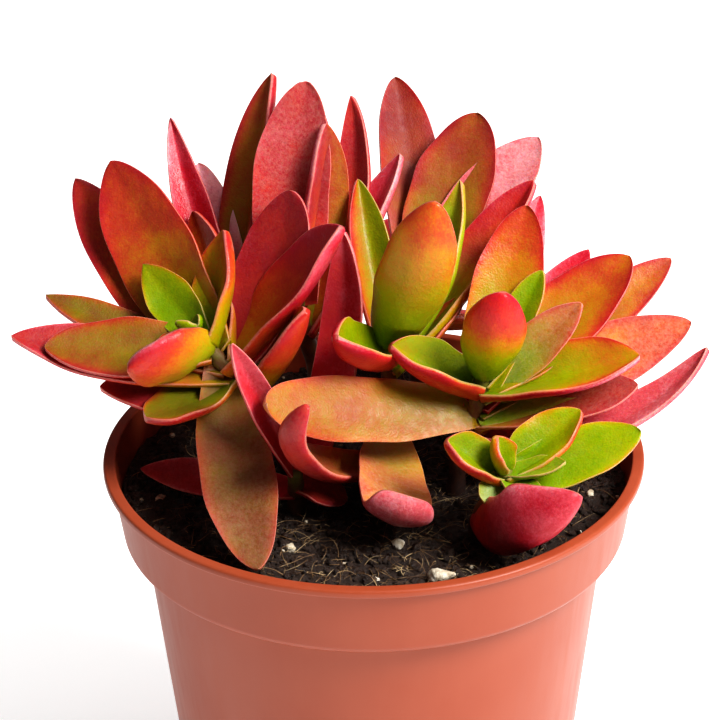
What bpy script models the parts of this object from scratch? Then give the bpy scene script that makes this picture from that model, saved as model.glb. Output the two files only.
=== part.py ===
"""Potted crassula: a turned plastic nursery pot, its soil and eight leafy shoots.

Units are metres in Blender and millimetres in the constants below. +Z is up, the pot
stands on z = 0 with its axis on the world Z axis, and -Y is the side that is looked at.
"""

from math import cos, pi, radians, sin

import bmesh
import bpy
import numpy as np
from mathutils import Matrix, Vector

MM = 0.001

# Pot, in millimetres
POT_HEIGHT = 75.0
RIM_RADIUS = 42.5
RIM_DEPTH = 1.2
BAND_TOP_RADIUS = 41.3
BAND_FOOT_RADIUS = 39.8
BAND_FOOT_Z = 62.6
BODY_TOP_RADIUS = 36.65
FOOT_RADIUS = 30.1
WALL = 0.9
FLOOR = 1.2
FOOT_ROUND = 0.6
TURN_STEPS = 44
DRAIN_HOLES = 6
DRAIN_RADIUS = 3.0
DRAIN_CIRCLE = 20.0

# Soil, in millimetres
GAP = 0.3
STEP_RISE = 1.5
SOIL_TOP = 69.5
SOIL_RINGS = 7
SOIL_STEPS = 28
STEP_LIFT = 0.5
RELIEF = 0.35
HOLE_CLEARANCE = 0.8
# Loose white lumps on the soil: x, y, length, width and height
LUMPS = (
    (9.6, -30.5, 4.6, 2.8, 2.4),
    (3.4, -21.0, 2.6, 1.8, 1.5),
    (-16.6, -32.0, 2.6, 1.9, 1.4),
    (-33.4, -6.0, 2.4, 1.8, 1.5),
    (31.0, 12.0, 2.8, 2.0, 1.6),
    (-2.0, 31.0, 3.0, 2.2, 1.8),
)

# Stems, in millimetres
STEM_FOOT_Z = 58.0
STEM_RADIUS = 1.6
STEM_TIP_RADIUS = 1.1
STEM_SIDES = 6
STEM_STATIONS = 3

# Leaves, in millimetres
LEAF_THICKNESS = 2.1
LEAF_EDGE = 0.6
LEAF_TIP_HALF = 0.3
LEAF_BASE_SHARE = 0.55
LEAF_WIDEST = 0.5
LEAF_HOOK_START = 0.78
LEAF_FOLD_ROUND = 0.22
LEAF_FOLD_LOSS = 0.25
LEAF_CLASP = 14.0
LEAF_CLASP_POWER = 4
# From the widest place to the tip the outline is (1 - v ** inner) ** outer; each pair
# is the exponent of a plain leaf and what being fully pointed adds to it
LEAF_FALL_INNER = (2.3, -0.8)
LEAF_FALL_OUTER = (0.62, 0.4)
# The body's thickness: most of it per width, its share at no width, its profile across
LEAF_BODY_PER_WIDTH = 0.24
LEAF_BODY_LEAST = 0.45
LEAF_BODY_POWER = 0.7
LEAF_BODY_PER_HALF = 2.2
# Rings along a leaf: fewest, most, reach between two of them, and how much they crowd
LEAF_RINGS = (4, 8)
LEAF_RING_FIRST = 3
LEAF_RING_REACH = 7.5
LEAF_RING_CROWD = 0.6
# Points across a leaf's upper face, and those of them that its keeled lower face keeps
LEAF_ACROSS = (-1.0, -0.55, 0.0, 0.55, 1.0)
KEEL_POINTS = (4, 2, 0)
# Triangles that close the ring of upper and lower points at a leaf's base
LEAF_CAP = ((0, 1, 7), (1, 6, 7), (1, 2, 6), (2, 3, 6), (3, 5, 6), (3, 4, 5))
MIDLINE_STEPS = 80

# The view that places the leaf tips: how far it looks down, its roll, and its centre
VIEW_DOWN = 27.0
VIEW_ROLL = -0.92
VIEW_CENTRE = (-1.88, 0.0, 90.62)

# Stems as points from the soil to the tip
STEMS = {
    "left": (
        (-13, -4, 58), (-13, -4, 72), (-17, -4, 84), (-23, -3, 92), (-27, -2, 97)),
    "rear_left": (
        (-15, 9, 58), (-15, 9, 72), (-18, 10, 84), (-21, 11, 92), (-22, 12, 98)),
    "back": (
        (-7, 7, 58), (-7, 7, 72), (-9, 8, 85), (-11, 8, 94), (-12, 8, 100)),
    "centre": (
        (2, -1, 58), (2, -1, 72), (2.5, -1, 82), (2.6, -1, 89), (2.3, -1.5, 95)),
    "rear": (
        (7, 13, 58), (7, 13, 72), (7.5, 15, 84), (8, 17, 94), (8.3, 18, 101)),
    "right": (
        (13, -4, 58), (13, -4, 72), (14.5, -5, 80), (16, -6, 86), (17, -7, 92)),
    "front": (
        (15.5, -18, 58), (15.5, -18, 70), (16.6, -19, 75), (18.4, -20.4, 79), (19.5, -21.5, 83)),
    "low": (
        (-12, -9.6, 58), (-12, -9.6, 71), (-12, -12, 75), (-12, -15, 79.5)),
}

# Leaves of each shoot. Each row is: distance of the leaf's base below the stem's tip;
# the leaf tip's place across, up and toward the viewer from the view's centre; width;
# then in degrees the fold along the middle, the curl toward the upper face, the roll
# about its own length and the sweep to one side; how pointed it is, from below 0 for a
# blunt leaf to 1; and the hook, in degrees, by which the last part of the leaf turns up.
LEAVES = {
    "left": (
        (8, -10.8, 26.1, 3, 14, 12, 15, -40, 20, 0, 0),
        (0.2, -25, 7, 4, 3.5, 30, 20, 0, 0, 0.3, 0),
        (0.4, -28, 6, 6, 3.5, 30, 20, 0, 0, 0.3, 0),
        (12, -36, 5, -18, 9, 15, 5, 0, 0, 0.2, 0),
        (13, -26, -2, -18, 8, 15, 5, 0, 0, 0.2, 0),
        (1.5, -33.8, 14.9, -2, 7.5, 15, 15, 0, 0, 0.5, 0),
        (5, -39.6, 31.5, -9, 14, 12, 15, 0, -12, 0.1, 0),
        (9, -45.7, 29, -14, 11.5, 14, 10, 0, -15, 0.2, 0),
        (8, -49.1, 10.3, -4, 8, 15, 10, 0, 0, 0.4, 0),
        (4, -48.2, 2.1, 5, 11, 12, 5, 40, 0, 0.1, 0),
        (9, -53.6, 3.8, 3, 10.5, 12, 5, 30, 0, 0.3, 0),
        (3, -21.3, 20.1, 1, 9.5, 35, 15, -15, 0, 0.3, 0),
        (7, -26.5, 23.5, -9, 9, 20, 20, 0, 0, 0.2, 0),
        (0.5, -31.5, 0.6, 7, 7, 30, 10, 20, 0, 0.4, 0),
        (3, -34.7, -1.2, 12, 11, 15, 25, -35, 0, 0.1, 20),
        (9, -32.5, -8.5, 9, 10.5, 15, 25, 30, 0, 0, 0),
        (13, -40, -4, 3, 9, 15, 5, 35, 0, 0.3, 0),
        (7, -15, -30.8, 19, 11.5, 6, 5, 40, 10, 0.1, 0),
        (8, -3, 20, 14, 14.5, 28, 10, -15, -10, 0.1, 0),
        (13, -8.3, 7.6, 17, 10, 30, 10, -5, 0, 0.3, 0),
    ),
    "rear_left": (
        (8, -20, 22, -30, 9, 15, 10, 0, 0, 0.2, 0),
        (9, -9, 12, -32, 9, 15, 10, 0, 0, 0.2, 0),
        (10, -33, 20, -28, 9, 15, 10, 0, 0, 0.2, 0),
        (5, -14.2, 45.8, -12, 9.5, 40, 5, 0, -18, 0.3, 0),
        (6, -30.3, 38.8, -13, 7, 40, 5, 0, -15, 0.7, 0),
        (6, -26, 31.6, -15, 8, 20, 5, 0, 0, 0, 0),
    ),
    "back": (
        (8, -9.3, 43.7, -6, 12, 15, 10, -25, 0, 0, 0),
        (4, -8.1, 43.1, 0, 12.5, 15, 10, -30, -25, 0, 0),
        (7, -5.1, 36.5, 1, 9, 32, 10, -93, 25, 0.3, 0),
        (9, -1.5, 42.3, -13, 7.5, 25, 10, 0, 40, 0.5, 0),
        (9, 6.3, 32.7, -9.5, 8, 25, 5, 0, 0, 0.2, 0),
    ),
    "centre": (
        (0.5, 5.9, 9.2, 2, 4, 30, 20, 0, 0, 0.3, 0),
        (0.3, 11.2, 23.3, 21, 11.5, 18, 40, 76, -10, 0, 0),
        (5, 15.5, 28, -1, 10, 40, 5, 0, 25, 0.9, 0),
        (4, -0.3, 28.3, -4, 8, 45, 5, 0, 0, 0.4, 0),
        (6, 27.3, 28.4, -8, 10.5, 40, 10, 0, 0, 0.3, 0),
        (4, -3.1, 3.7, 18, 11.5, 55, 30, 33, 0, 0.2, 0),
        (6, 16, 10, -1, 5.5, 20, 15, 0, 0, 0.3, 0),
        (21.9, -9.4, -8.9, 25, 7.9, 30, 60, 30, 0, 0, 60),
        (17, 5.7, -23.3, 16, 11.5, 10, 10, 18, 0, -1.1, 110),
    ),
    "rear": (
        (8, 5, 24, -42, 10, 15, 10, 0, 0, 0.2, 0),
        (9, 18, 20, -42, 10, 15, 10, 0, 0, 0.2, 0),
        (7, 30.5, 25, -32, 9, 15, 10, 0, 0, 0.2, 0),
        (11, 22, 8, -36, 9, 15, 10, 0, 0, 0.2, 0),
        (4, 19, 40.1, -19, 13.5, 12, 10, -10, 0, 0, 0),
        (7, 5.7, 46.5, -25, 11, 20, 10, 0, 12, 0.1, 0),
        (5, 28.8, 36, -17, 11.5, 20, 10, -35, 0, 0.1, 0),
    ),
    "right": (
        (11, 40, 6, -14, 9, 15, 5, 0, 0, 0.2, 0),
        (12, 28, 2, -18, 9, 15, 5, 0, 0, 0.2, 0),
        (1.5, 20.3, 1.2, 2, 3, 30, 20, 0, 0, 0.3, 0),
        (0.3, 21.1, 10.2, 18, 10, 22, 45, 0, 0, 0, 0),
        (4, 25.8, 23.9, 1, 11, 14, 10, 0, 0, 0.1, 0),
        (8, 28.7, 26.2, -12, 8, 14, 10, 0, 0, 0.2, 0),
        (3, 28, 13.8, 3, 6.5, 30, 10, 0, 0, 0.2, 0),
        (4, 42, 16.3, -3, 13, 12, 8, 0, 0, 0, 0),
        (5, 33.5, 8.6, 9, 7.5, 25, 10, -40, 0, 0.3, 0),
        (8, 49, 16, -7, 9, 15, 10, -15, 0, 0.1, 0),
        (8, 51, 5.9, 2, 11, 20, 5, -40, 0, 0.2, 0),
        (4, 42.3, 0.8, 9, 11, 35, 5, -15, 0, 0.2, 0),
        (9, 42.5, -3.7, 5, 9, 20, 5, -25, 0, 0.2, 0),
        (4, 4.8, 2.3, 11, 11, 60, 20, 14, 0, 0.3, 0),
        (7, 36, 17.5, -7, 9, 15, 10, 0, 0, 0.3, 0),
        (7.5, -13.9, -6.4, 18, 10.5, -12, 15, 35, 0, -0.4, 0),
        (12, 53.7, 2, 0, 7, 25, 55, 0, 45, 0.1, 0),
    ),
    "front": (
        (2, 33, -7.4, 13, 9, 40, 10, 0, 0, 0.3, 0),
        (3, 42, -10.6, 14, 8.6, 15, 10, -25, 0, 0.1, 0),
        (1, 30.4, -15, 18, 4.5, 20, 10, 0, 0, 0.4, 0),
        (0.5, 20.3, -11.4, 18, 6, 55, 10, 0, 0, 0.3, 0),
        (2, 13, -11.8, 18, 8, 45, 10, 10, 0, 0.1, 0),
        (1.5, 26.6, -20, 20, 5, 15, 10, 0, 0, 0.3, 0),
        (12, 31.5, -19.2, 25, 18, 68, 100, 35, 30, 0, 0),
        (5, 31.5, -12, 11, 6, 20, 10, 0, 0, 0.3, 0),
        (1.5, 19.9, -22.2, 17, 6.5, 15, 0, 0, 0, 0.2, 0),
    ),
    "low": (
        (0.5, -18.9, 2.4, 19, 5.5, 40, 5, 0, 0, 0.4, 0),
        (7, -34.5, -17, -6, 6.5, 20, 5, 0, 0, 0.3, 0),
        (4.5, -2, -21.1, 0, 5.5, 20, 5, 0, 0, -0.3, 0),
        (8.5, -2.7, 19.5, 6, 7.5, 30, 45, 0, 20, 0.1, 0),
    ),
}


def clear_scene():
    """Remove every object and collection that the file starts with."""
    for thing in list(bpy.data.objects):
        bpy.data.objects.remove(thing, do_unlink=True)
    for group in list(bpy.data.collections):
        bpy.data.collections.remove(group)


def make_material(name, colour, roughness):
    """Return a Principled material with a linear base colour."""
    material = bpy.data.materials.new(name)
    material.use_nodes = True
    shader = material.node_tree.nodes["Principled BSDF"]
    shader.inputs["Base Color"].default_value = (*colour, 1.0)
    shader.inputs["Roughness"].default_value = roughness
    shader.inputs["Metallic"].default_value = 0.0
    material.diffuse_color = (*colour, 1.0)
    return material


def make_object(name, mesh, material, collection):
    """Wrap a mesh in an object with one material and link it."""
    thing = bpy.data.objects.new(name, mesh)
    mesh.materials.clear()
    mesh.materials.append(material)
    collection.objects.link(thing)
    return thing


def mesh_from(name, points, faces):
    """Return a mesh made of points in millimetres and faces."""
    mesh = bpy.data.meshes.new(name)
    mesh.from_pydata([tuple(p) for p in np.asarray(points) * MM], [], faces)
    mesh.update()
    return mesh


def union_in_place(body, collection):
    """Fuse a collection's solids into one object, and remove them."""
    fuse = body.modifiers.new("fuse", "BOOLEAN")
    fuse.operation = "UNION"
    fuse.operand_type = "COLLECTION"
    fuse.collection = collection
    fuse.solver = "MANIFOLD"
    bpy.context.view_layer.update()
    view = bpy.context.evaluated_depsgraph_get()
    fused = bpy.data.meshes.new_from_object(body.evaluated_get(view))
    keep_outer_shell(fused)
    body.modifiers.clear()
    body.data = fused
    for thing in list(collection.objects):
        bpy.data.objects.remove(thing, do_unlink=True)
    bpy.data.collections.remove(collection)


def keep_outer_shell(mesh):
    """Fill the small voids that crossing leaf roots enclose, by removing their walls."""
    shape = bmesh.new()
    shape.from_mesh(mesh)
    left = set(shape.verts)
    shells = []
    while left:
        front = [left.pop()]
        shell = list(front)
        while front:
            for edge in front.pop().link_edges:
                for vert in edge.verts:
                    if vert in left:
                        left.remove(vert)
                        front.append(vert)
                        shell.append(vert)
        shells.append(shell)
    shells.sort(key=len)
    for shell in shells[:-1]:
        bmesh.ops.delete(shape, geom=shell, context="VERTS")
    shape.to_mesh(mesh)
    shape.free()


def cut_with(body, cutters):
    """Cut a collection's solids out of a body with a live Boolean."""
    cut = body.modifiers.new("cut", "BOOLEAN")
    cut.operation = "DIFFERENCE"
    cut.operand_type = "COLLECTION"
    cut.collection = cutters
    cut.solver = "MANIFOLD"


def hidden_collection(name):
    """Return a collection for cutters, which no render shows."""
    group = bpy.data.collections.new(name)
    bpy.context.scene.collection.children.link(group)
    group.hide_render = True
    return group


def add_cutter(name, collection, x, y, bottom, top, radius, sides):
    """Add an upright cylinder that a Boolean cuts away."""
    shape = bmesh.new()
    height = top - bottom
    place = Matrix.Translation((x * MM, y * MM, (bottom + height / 2) * MM))
    bmesh.ops.create_cone(
        shape, cap_ends=True, segments=sides, radius1=radius * MM,
        radius2=radius * MM, depth=height * MM, matrix=place)
    mesh = bpy.data.meshes.new(name)
    shape.to_mesh(mesh)
    shape.free()
    cutter = bpy.data.objects.new(name, mesh)
    cutter.hide_render = True
    cutter.display_type = "WIRE"
    collection.objects.link(cutter)


def band_inner_radius(z):
    """Radius of the pot's inner face in the band below the rim."""
    top = BAND_TOP_RADIUS - WALL + 0.2
    foot = BAND_FOOT_RADIUS - WALL
    return foot + (top - foot) * (z - BAND_FOOT_Z) / (POT_HEIGHT - BAND_FOOT_Z)


def body_inner_radius(z):
    """Radius of the pot's inner face below the band."""
    slope = (BODY_TOP_RADIUS - FOOT_RADIUS) / BAND_FOOT_Z
    return FOOT_RADIUS - WALL + slope * z


def pot_profile():
    """Half-section of the pot, from the floor's centre over the rim to its underside."""
    step_foot = BAND_FOOT_Z - FLOOR / 2
    step_head = step_foot + STEP_RISE
    return (
        (0.0, FLOOR),
        (body_inner_radius(FLOOR), FLOOR),
        (body_inner_radius(step_foot), step_foot),
        (band_inner_radius(step_head), step_head),
        (band_inner_radius(POT_HEIGHT), POT_HEIGHT),
        (RIM_RADIUS - 0.3, POT_HEIGHT),
        (RIM_RADIUS, POT_HEIGHT - 0.3),
        (RIM_RADIUS, POT_HEIGHT - RIM_DEPTH),
        (BAND_TOP_RADIUS, POT_HEIGHT - RIM_DEPTH - 0.2),
        (BAND_FOOT_RADIUS + 0.08, BAND_FOOT_Z + 0.7),
        (BAND_FOOT_RADIUS - 0.4, BAND_FOOT_Z),
        (BODY_TOP_RADIUS, BAND_FOOT_Z - 0.3),
        (FOOT_RADIUS, FOOT_ROUND),
        (FOOT_RADIUS - FOOT_ROUND, 0.0),
        (0.0, 0.0),
    )


def build_pot(collection):
    """Turn the pot's half-section and cut the drain holes in its floor."""
    points = [(r * MM, 0.0, z * MM) for r, z in pot_profile()]
    edges = [(i, i + 1) for i in range(len(points) - 1)]
    mesh = bpy.data.meshes.new("pot")
    mesh.from_pydata(points, edges, [])
    plastic = make_material("terracotta_plastic", (0.50, 0.115, 0.055), 0.42)
    pot = make_object("pot", mesh, plastic, collection)
    turn = pot.modifiers.new("turn", "SCREW")
    turn.axis = "Z"
    turn.angle = 2 * pi
    turn.steps = TURN_STEPS
    turn.render_steps = TURN_STEPS
    turn.use_merge_vertices = True
    turn.merge_threshold = 0.00001
    turn.use_smooth_shade = False
    cutters = hidden_collection("drain_cutters")
    for i in range(DRAIN_HOLES):
        angle = 2 * pi * i / DRAIN_HOLES
        add_cutter(
            f"drain_{i}", cutters, DRAIN_CIRCLE * cos(angle), DRAIN_CIRCLE * sin(angle),
            -1.0, FLOOR + 1.0, DRAIN_RADIUS, 20)
    cut_with(pot, cutters)
    return pot


def soil_height(x, y):
    """Height of the soil's surface: a flat bed with low, rolling relief."""
    waves = np.sin(0.31 * x + 0.7) * np.cos(0.27 * y) + np.sin(0.17 * x - 0.41 * y)
    return SOIL_TOP + RELIEF * 0.5 * waves


def build_soil(collection):
    """Fill the pot with soil: a ringed top of formula height over a plain plug."""
    radius = band_inner_radius(SOIL_TOP) - GAP
    points = [(0.0, 0.0, float(soil_height(0.0, 0.0)))]
    faces = []
    angles = [2 * pi * k / SOIL_STEPS for k in range(SOIL_STEPS)]
    for ring in range(1, SOIL_RINGS + 1):
        r = radius * ring / SOIL_RINGS
        for a in angles:
            x = r * cos(a)
            y = r * sin(a)
            points.append((x, y, float(soil_height(x, y))))
    step_foot = BAND_FOOT_Z - FLOOR / 2
    step_head = step_foot + STEP_RISE
    for r, z in (
            (band_inner_radius(step_head) - GAP, step_head + STEP_LIFT),
            (body_inner_radius(step_foot) - GAP, step_foot + STEP_LIFT),
            (body_inner_radius(FLOOR) - GAP, FLOOR + GAP)):
        for a in angles:
            points.append((r * cos(a), r * sin(a), z))
    points.append((0.0, 0.0, FLOOR + GAP))
    rings = SOIL_RINGS + 3
    for k in range(SOIL_STEPS):
        after = (k + 1) % SOIL_STEPS
        faces.append((0, 1 + k, 1 + after))
        for ring in range(rings - 1):
            a = 1 + ring * SOIL_STEPS
            b = a + SOIL_STEPS
            faces.append((a + k, b + k, b + after, a + after))
        last = 1 + (rings - 1) * SOIL_STEPS
        faces.append((last + k, len(points) - 1, last + after))
    dirt = make_material("potting_soil", (0.012, 0.007, 0.005), 0.9)
    soil = make_object("soil", mesh_from("soil", points, faces), dirt, collection)
    lumps = hidden_collection("soil_lumps")
    for i, (x, y, length, width, height) in enumerate(LUMPS):
        shape = bmesh.new()
        bmesh.ops.create_icosphere(shape, subdivisions=1, radius=0.5)
        place = Matrix.Translation(
            (x * MM, y * MM, (float(soil_height(x, y)) + height * 0.2) * MM))
        place = place @ Matrix.Rotation(radians(37.0 * i), 4, "Z")
        place = place @ Matrix.Diagonal((length * MM, width * MM, height * MM, 1.0))
        bmesh.ops.transform(shape, matrix=place, verts=shape.verts)
        mesh = bpy.data.meshes.new(f"lump_{i}")
        shape.to_mesh(mesh)
        shape.free()
        lumps.objects.link(bpy.data.objects.new(f"lump_{i}", mesh))
    union_in_place(soil, lumps)
    cutters = hidden_collection("stem_hole_cutters")
    for name, route in STEMS.items():
        add_cutter(
            f"hole_{name}", cutters, route[0][0], route[0][1], STEM_FOOT_Z - GAP,
            SOIL_TOP + 4.0, STEM_RADIUS + HOLE_CLEARANCE, 16)
    cut_with(soil, cutters)
    return soil


def view_axes():
    """Unit vectors across, up and toward the viewer of the view that places leaves."""
    down = radians(VIEW_DOWN)
    roll = radians(VIEW_ROLL)
    across = np.array((1.0, 0.0, 0.0))
    up = np.array((0.0, sin(down), cos(down)))
    toward = np.array((0.0, -cos(down), sin(down)))
    return across * cos(roll) + up * sin(roll), up * cos(roll) - across * sin(roll), toward


def view_point(across, up, toward):
    """World place, in millimetres, of a point given in the view's directions."""
    side, rise, near = view_axes()
    return np.array(VIEW_CENTRE) + across * side + up * rise + toward * near


def unit(vector):
    """Return a vector of length one."""
    return vector / np.linalg.norm(vector)


def smooth_route(points, parts):
    """Catmull-Rom curve through hand-set points, with some parts in each span."""
    p = np.array(points, float)
    p = np.vstack([2 * p[0] - p[1], p, 2 * p[-1] - p[-2]])
    out = []
    for i in range(1, len(p) - 2):
        for t in np.linspace(0, 1, parts, endpoint=False):
            out.append(0.5 * (
                2 * p[i] + (p[i + 1] - p[i - 1]) * t
                + (2 * p[i - 1] - 5 * p[i] + 4 * p[i + 1] - p[i + 2]) * t ** 2
                + (3 * p[i] - p[i - 1] - 3 * p[i + 1] + p[i + 2]) * t ** 3))
    out.append(p[-2])
    return np.array(out)


def place_on_stem(route, drop):
    """Point and upward direction on a stem, some way below its tip."""
    back = route[::-1]
    steps = np.linalg.norm(np.diff(back, axis=0), axis=1)
    run = np.concatenate(([0.0], np.cumsum(steps)))
    here = np.array([np.interp(drop, run, back[:, k]) for k in range(3)])
    lower = np.array([np.interp(drop + 1.0, run, back[:, k]) for k in range(3)])
    return here, unit(here - lower)


def build_stem_mesh(name, route):
    """Sweep a ring of points along the stem, thinner toward its tip."""
    path = smooth_route(route, STEM_STATIONS)
    slopes = np.gradient(path, axis=0)
    points = []
    faces = []
    for i, (centre, slope) in enumerate(zip(path, slopes)):
        share = i / (len(path) - 1)
        radius = STEM_RADIUS + (STEM_TIP_RADIUS - STEM_RADIUS) * share
        side = unit(np.cross((0.0, 1.0, 0.0), slope))
        other = unit(np.cross(slope, side))
        for k in range(STEM_SIDES):
            turn = 2 * pi * k / STEM_SIDES
            points.append(centre + radius * (side * cos(turn) + other * sin(turn)))
    for i in range(len(path) - 1):
        for k in range(STEM_SIDES):
            a = i * STEM_SIDES + k
            b = i * STEM_SIDES + (k + 1) % STEM_SIDES
            faces.append((a, b, b + STEM_SIDES, a + STEM_SIDES))
    faces.append(tuple(range(STEM_SIDES - 1, -1, -1)))
    last = (len(path) - 1) * STEM_SIDES
    faces.append(tuple(range(last, last + STEM_SIDES)))
    return mesh_from(name, points, faces)


def leaf_outline(t, pointed):
    """Share of a leaf's half-width along its length: a clasping base, a blunt tip."""
    rise = LEAF_BASE_SHARE + (1 - LEAF_BASE_SHARE) * np.sin(
        np.clip(t / LEAF_WIDEST, 0, 1) * pi / 2)
    v = np.clip((t - LEAF_WIDEST) / (1 - LEAF_WIDEST), 0, 1)
    inner = LEAF_FALL_INNER[0] + LEAF_FALL_INNER[1] * pointed
    outer = LEAF_FALL_OUTER[0] + LEAF_FALL_OUTER[1] * pointed
    fall = (1 - v ** inner) ** outer
    return np.where(t < LEAF_WIDEST, rise, fall)


def leaf_frames(route, row, t):
    """Mid-line points and side and upper-face directions along a leaf.

    The upper face looks to the stem's tip before the leaf is rolled. The mid-line's
    direction turns evenly by the curl and the sweep, and near the tip by the hook; its
    length is fitted to the distance from base to tip.
    """
    drop, across, up, toward, width, fold, curl, roll, sweep, pointed, hook = row
    base, axis = place_on_stem(route, drop)
    reach = view_point(across, up, toward) - base
    along = unit(reach)
    face = unit(axis - (axis @ along) * along)
    side = np.cross(face, along)
    r = radians(roll)
    face, side = face * cos(r) + side * sin(r), side * cos(r) - face * sin(r)
    s = np.linspace(0, 1, MIDLINE_STEPS + 1)
    turned = np.clip((s - LEAF_HOOK_START) / (1 - LEAF_HOOK_START), 0, 1)
    bend = radians(curl) * (s - 0.5) + radians(hook) * turned
    swing = radians(sweep) * (s - 0.5)
    way = (np.outer(np.cos(bend) * np.cos(swing), along) + np.outer(np.sin(bend), face)
           + np.outer(np.cos(bend) * np.sin(swing), side))
    way /= np.linalg.norm(way, axis=1)[:, None]
    steps = (way[1:] + way[:-1]) / 2
    line = np.vstack([np.zeros(3), np.cumsum(steps, axis=0)])
    line *= np.linalg.norm(reach) / (line[-1] @ along)
    centre = base + np.stack([np.interp(t, s, line[:, k]) for k in range(3)], -1)
    normal = np.outer(np.cos(bend), face) - np.outer(np.sin(bend), along)
    way = np.stack([np.interp(t, s, way[:, k]) for k in range(3)], -1)
    normal = np.stack([np.interp(t, s, normal[:, k]) for k in range(3)], -1)
    normal -= (normal * way).sum(1)[:, None] * way
    normal /= np.linalg.norm(normal, axis=1)[:, None]
    return centre, np.cross(normal, way), normal


def leaf_faces(route, row, u, t):
    """Upper and lower surface points of a leaf, u across from -1 to 1, t along."""
    width, fold, pointed = row[4], row[5], row[9]
    centre, side, normal = leaf_frames(route, row, t)
    half = np.maximum(width / 2 * leaf_outline(t, pointed), LEAF_TIP_HALF)
    clasp = LEAF_CLASP * (1 - t) ** LEAF_CLASP_POWER
    rise = np.radians(fold * (1 - LEAF_FOLD_LOSS * t) + clasp)
    root = np.sqrt(u * u + LEAF_FOLD_ROUND ** 2)
    x = half[:, None] * u[None, :] * np.cos(rise)[:, None]
    z = half[:, None] * (root - LEAF_FOLD_ROUND)[None, :] * np.sin(rise)[:, None]
    slope = rise[:, None] * (u / root)[None, :]
    share = half / (width / 2)
    body = min(LEAF_THICKNESS, width * LEAF_BODY_PER_WIDTH)
    body = body * (LEAF_BODY_LEAST + (1 - LEAF_BODY_LEAST) * share)
    profile = (1 - u * u) ** LEAF_BODY_POWER
    thick = LEAF_EDGE + np.maximum(body - LEAF_EDGE, 0)[:, None] * profile[None, :]
    thick = np.minimum(thick, np.maximum(LEAF_BODY_PER_HALF * half, LEAF_EDGE)[:, None])
    upper = centre[:, None, :] + side[:, None, :] * x[..., None]
    upper = upper + normal[:, None, :] * z[..., None]
    out = normal[:, None, :] * np.cos(slope)[..., None]
    out = out - side[:, None, :] * np.sin(slope)[..., None]
    return upper, upper - out * thick[..., None]


def build_leaf_mesh(name, route, row):
    """Loft one closed leaf from its upper and lower faces."""
    base, _ = place_on_stem(route, row[0])
    reach = np.linalg.norm(view_point(*row[1:4]) - base)
    stations = int(np.clip(round(LEAF_RING_FIRST + reach / LEAF_RING_REACH), *LEAF_RINGS))
    s = np.linspace(0, 1, stations)
    t = (1 - LEAF_RING_CROWD) * s + LEAF_RING_CROWD * np.sin(s * pi / 2)
    upper, lower = leaf_faces(route, row, np.array(LEAF_ACROSS), t)
    rings = np.concatenate([upper, lower[:, KEEL_POINTS]], axis=1)
    around = rings.shape[1]
    faces = []
    for i in range(stations - 1):
        for j in range(around):
            a = i * around + j
            b = i * around + (j + 1) % around
            faces.append((a, a + around, b + around))
            faces.append((a, b + around, b))
    last = (stations - 1) * around
    for a, b, c in LEAF_CAP:
        faces.append((a, b, c))
        faces.append((last + a, last + c, last + b))
    return mesh_from(name, rings.reshape(-1, 3), faces)


def build_shoot(name, collection, material):
    """Sweep a stem and fuse its leaves onto it."""
    stem = make_object(
        f"shoot_{name}", build_stem_mesh(f"shoot_{name}", STEMS[name]), material, collection)
    route = smooth_route(STEMS[name], 8)
    group = hidden_collection(f"leaves_{name}")
    for i, row in enumerate(LEAVES[name]):
        mesh = build_leaf_mesh(f"leaf_{name}_{i}", route, row)
        group.objects.link(bpy.data.objects.new(f"leaf_{name}_{i}", mesh))
    union_in_place(stem, group)
    stem.data.materials.clear()
    stem.data.materials.append(material)
    return stem


def main():
    """Build the pot, its soil and the eight shoots."""
    clear_scene()
    scene = bpy.context.scene
    scene.unit_settings.system = "METRIC"
    build_pot(scene.collection)
    build_soil(scene.collection)
    leaf = make_material("crassula_leaf", (0.42, 0.11, 0.03), 0.42)
    for name in STEMS:
        build_shoot(name, scene.collection, leaf)


main()
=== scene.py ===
"""Potted crassula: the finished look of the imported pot, soil and eight leafy shoots.

Sizes in the tables are millimetres and degrees; meshes are metres. +Z is up and -Y is
the side that is looked at.
"""

from math import cos, pi, radians, sin

import bmesh
import bpy
import numpy as np
from mathutils import Matrix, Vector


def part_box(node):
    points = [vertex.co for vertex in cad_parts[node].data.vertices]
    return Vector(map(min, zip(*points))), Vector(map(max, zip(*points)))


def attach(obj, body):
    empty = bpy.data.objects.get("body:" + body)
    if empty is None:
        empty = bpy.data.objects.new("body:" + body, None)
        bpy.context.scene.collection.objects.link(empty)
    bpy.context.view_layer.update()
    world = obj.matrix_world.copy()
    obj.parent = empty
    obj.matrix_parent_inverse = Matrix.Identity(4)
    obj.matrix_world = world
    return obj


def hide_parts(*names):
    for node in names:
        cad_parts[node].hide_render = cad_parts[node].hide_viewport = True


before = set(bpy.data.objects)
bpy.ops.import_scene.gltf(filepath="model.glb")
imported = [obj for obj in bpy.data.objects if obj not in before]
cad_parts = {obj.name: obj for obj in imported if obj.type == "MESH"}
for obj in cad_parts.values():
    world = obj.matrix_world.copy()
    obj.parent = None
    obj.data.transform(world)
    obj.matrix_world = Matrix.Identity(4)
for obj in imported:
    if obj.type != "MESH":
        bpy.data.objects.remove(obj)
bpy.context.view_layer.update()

bl_info = {
    "name": "Potted Crassula",
    "version": (1, 0, 0),
    "blender": (4, 5, 0),
    "location": "View3D > Sidebar > Crassula",
    "description": "Builds a potted crassula: pot, soil, leafy shoots and a plain stage",
    "category": "Add Mesh",
}

MM = 0.001
POT_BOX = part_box("pot")
SOIL_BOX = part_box("soil")

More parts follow.
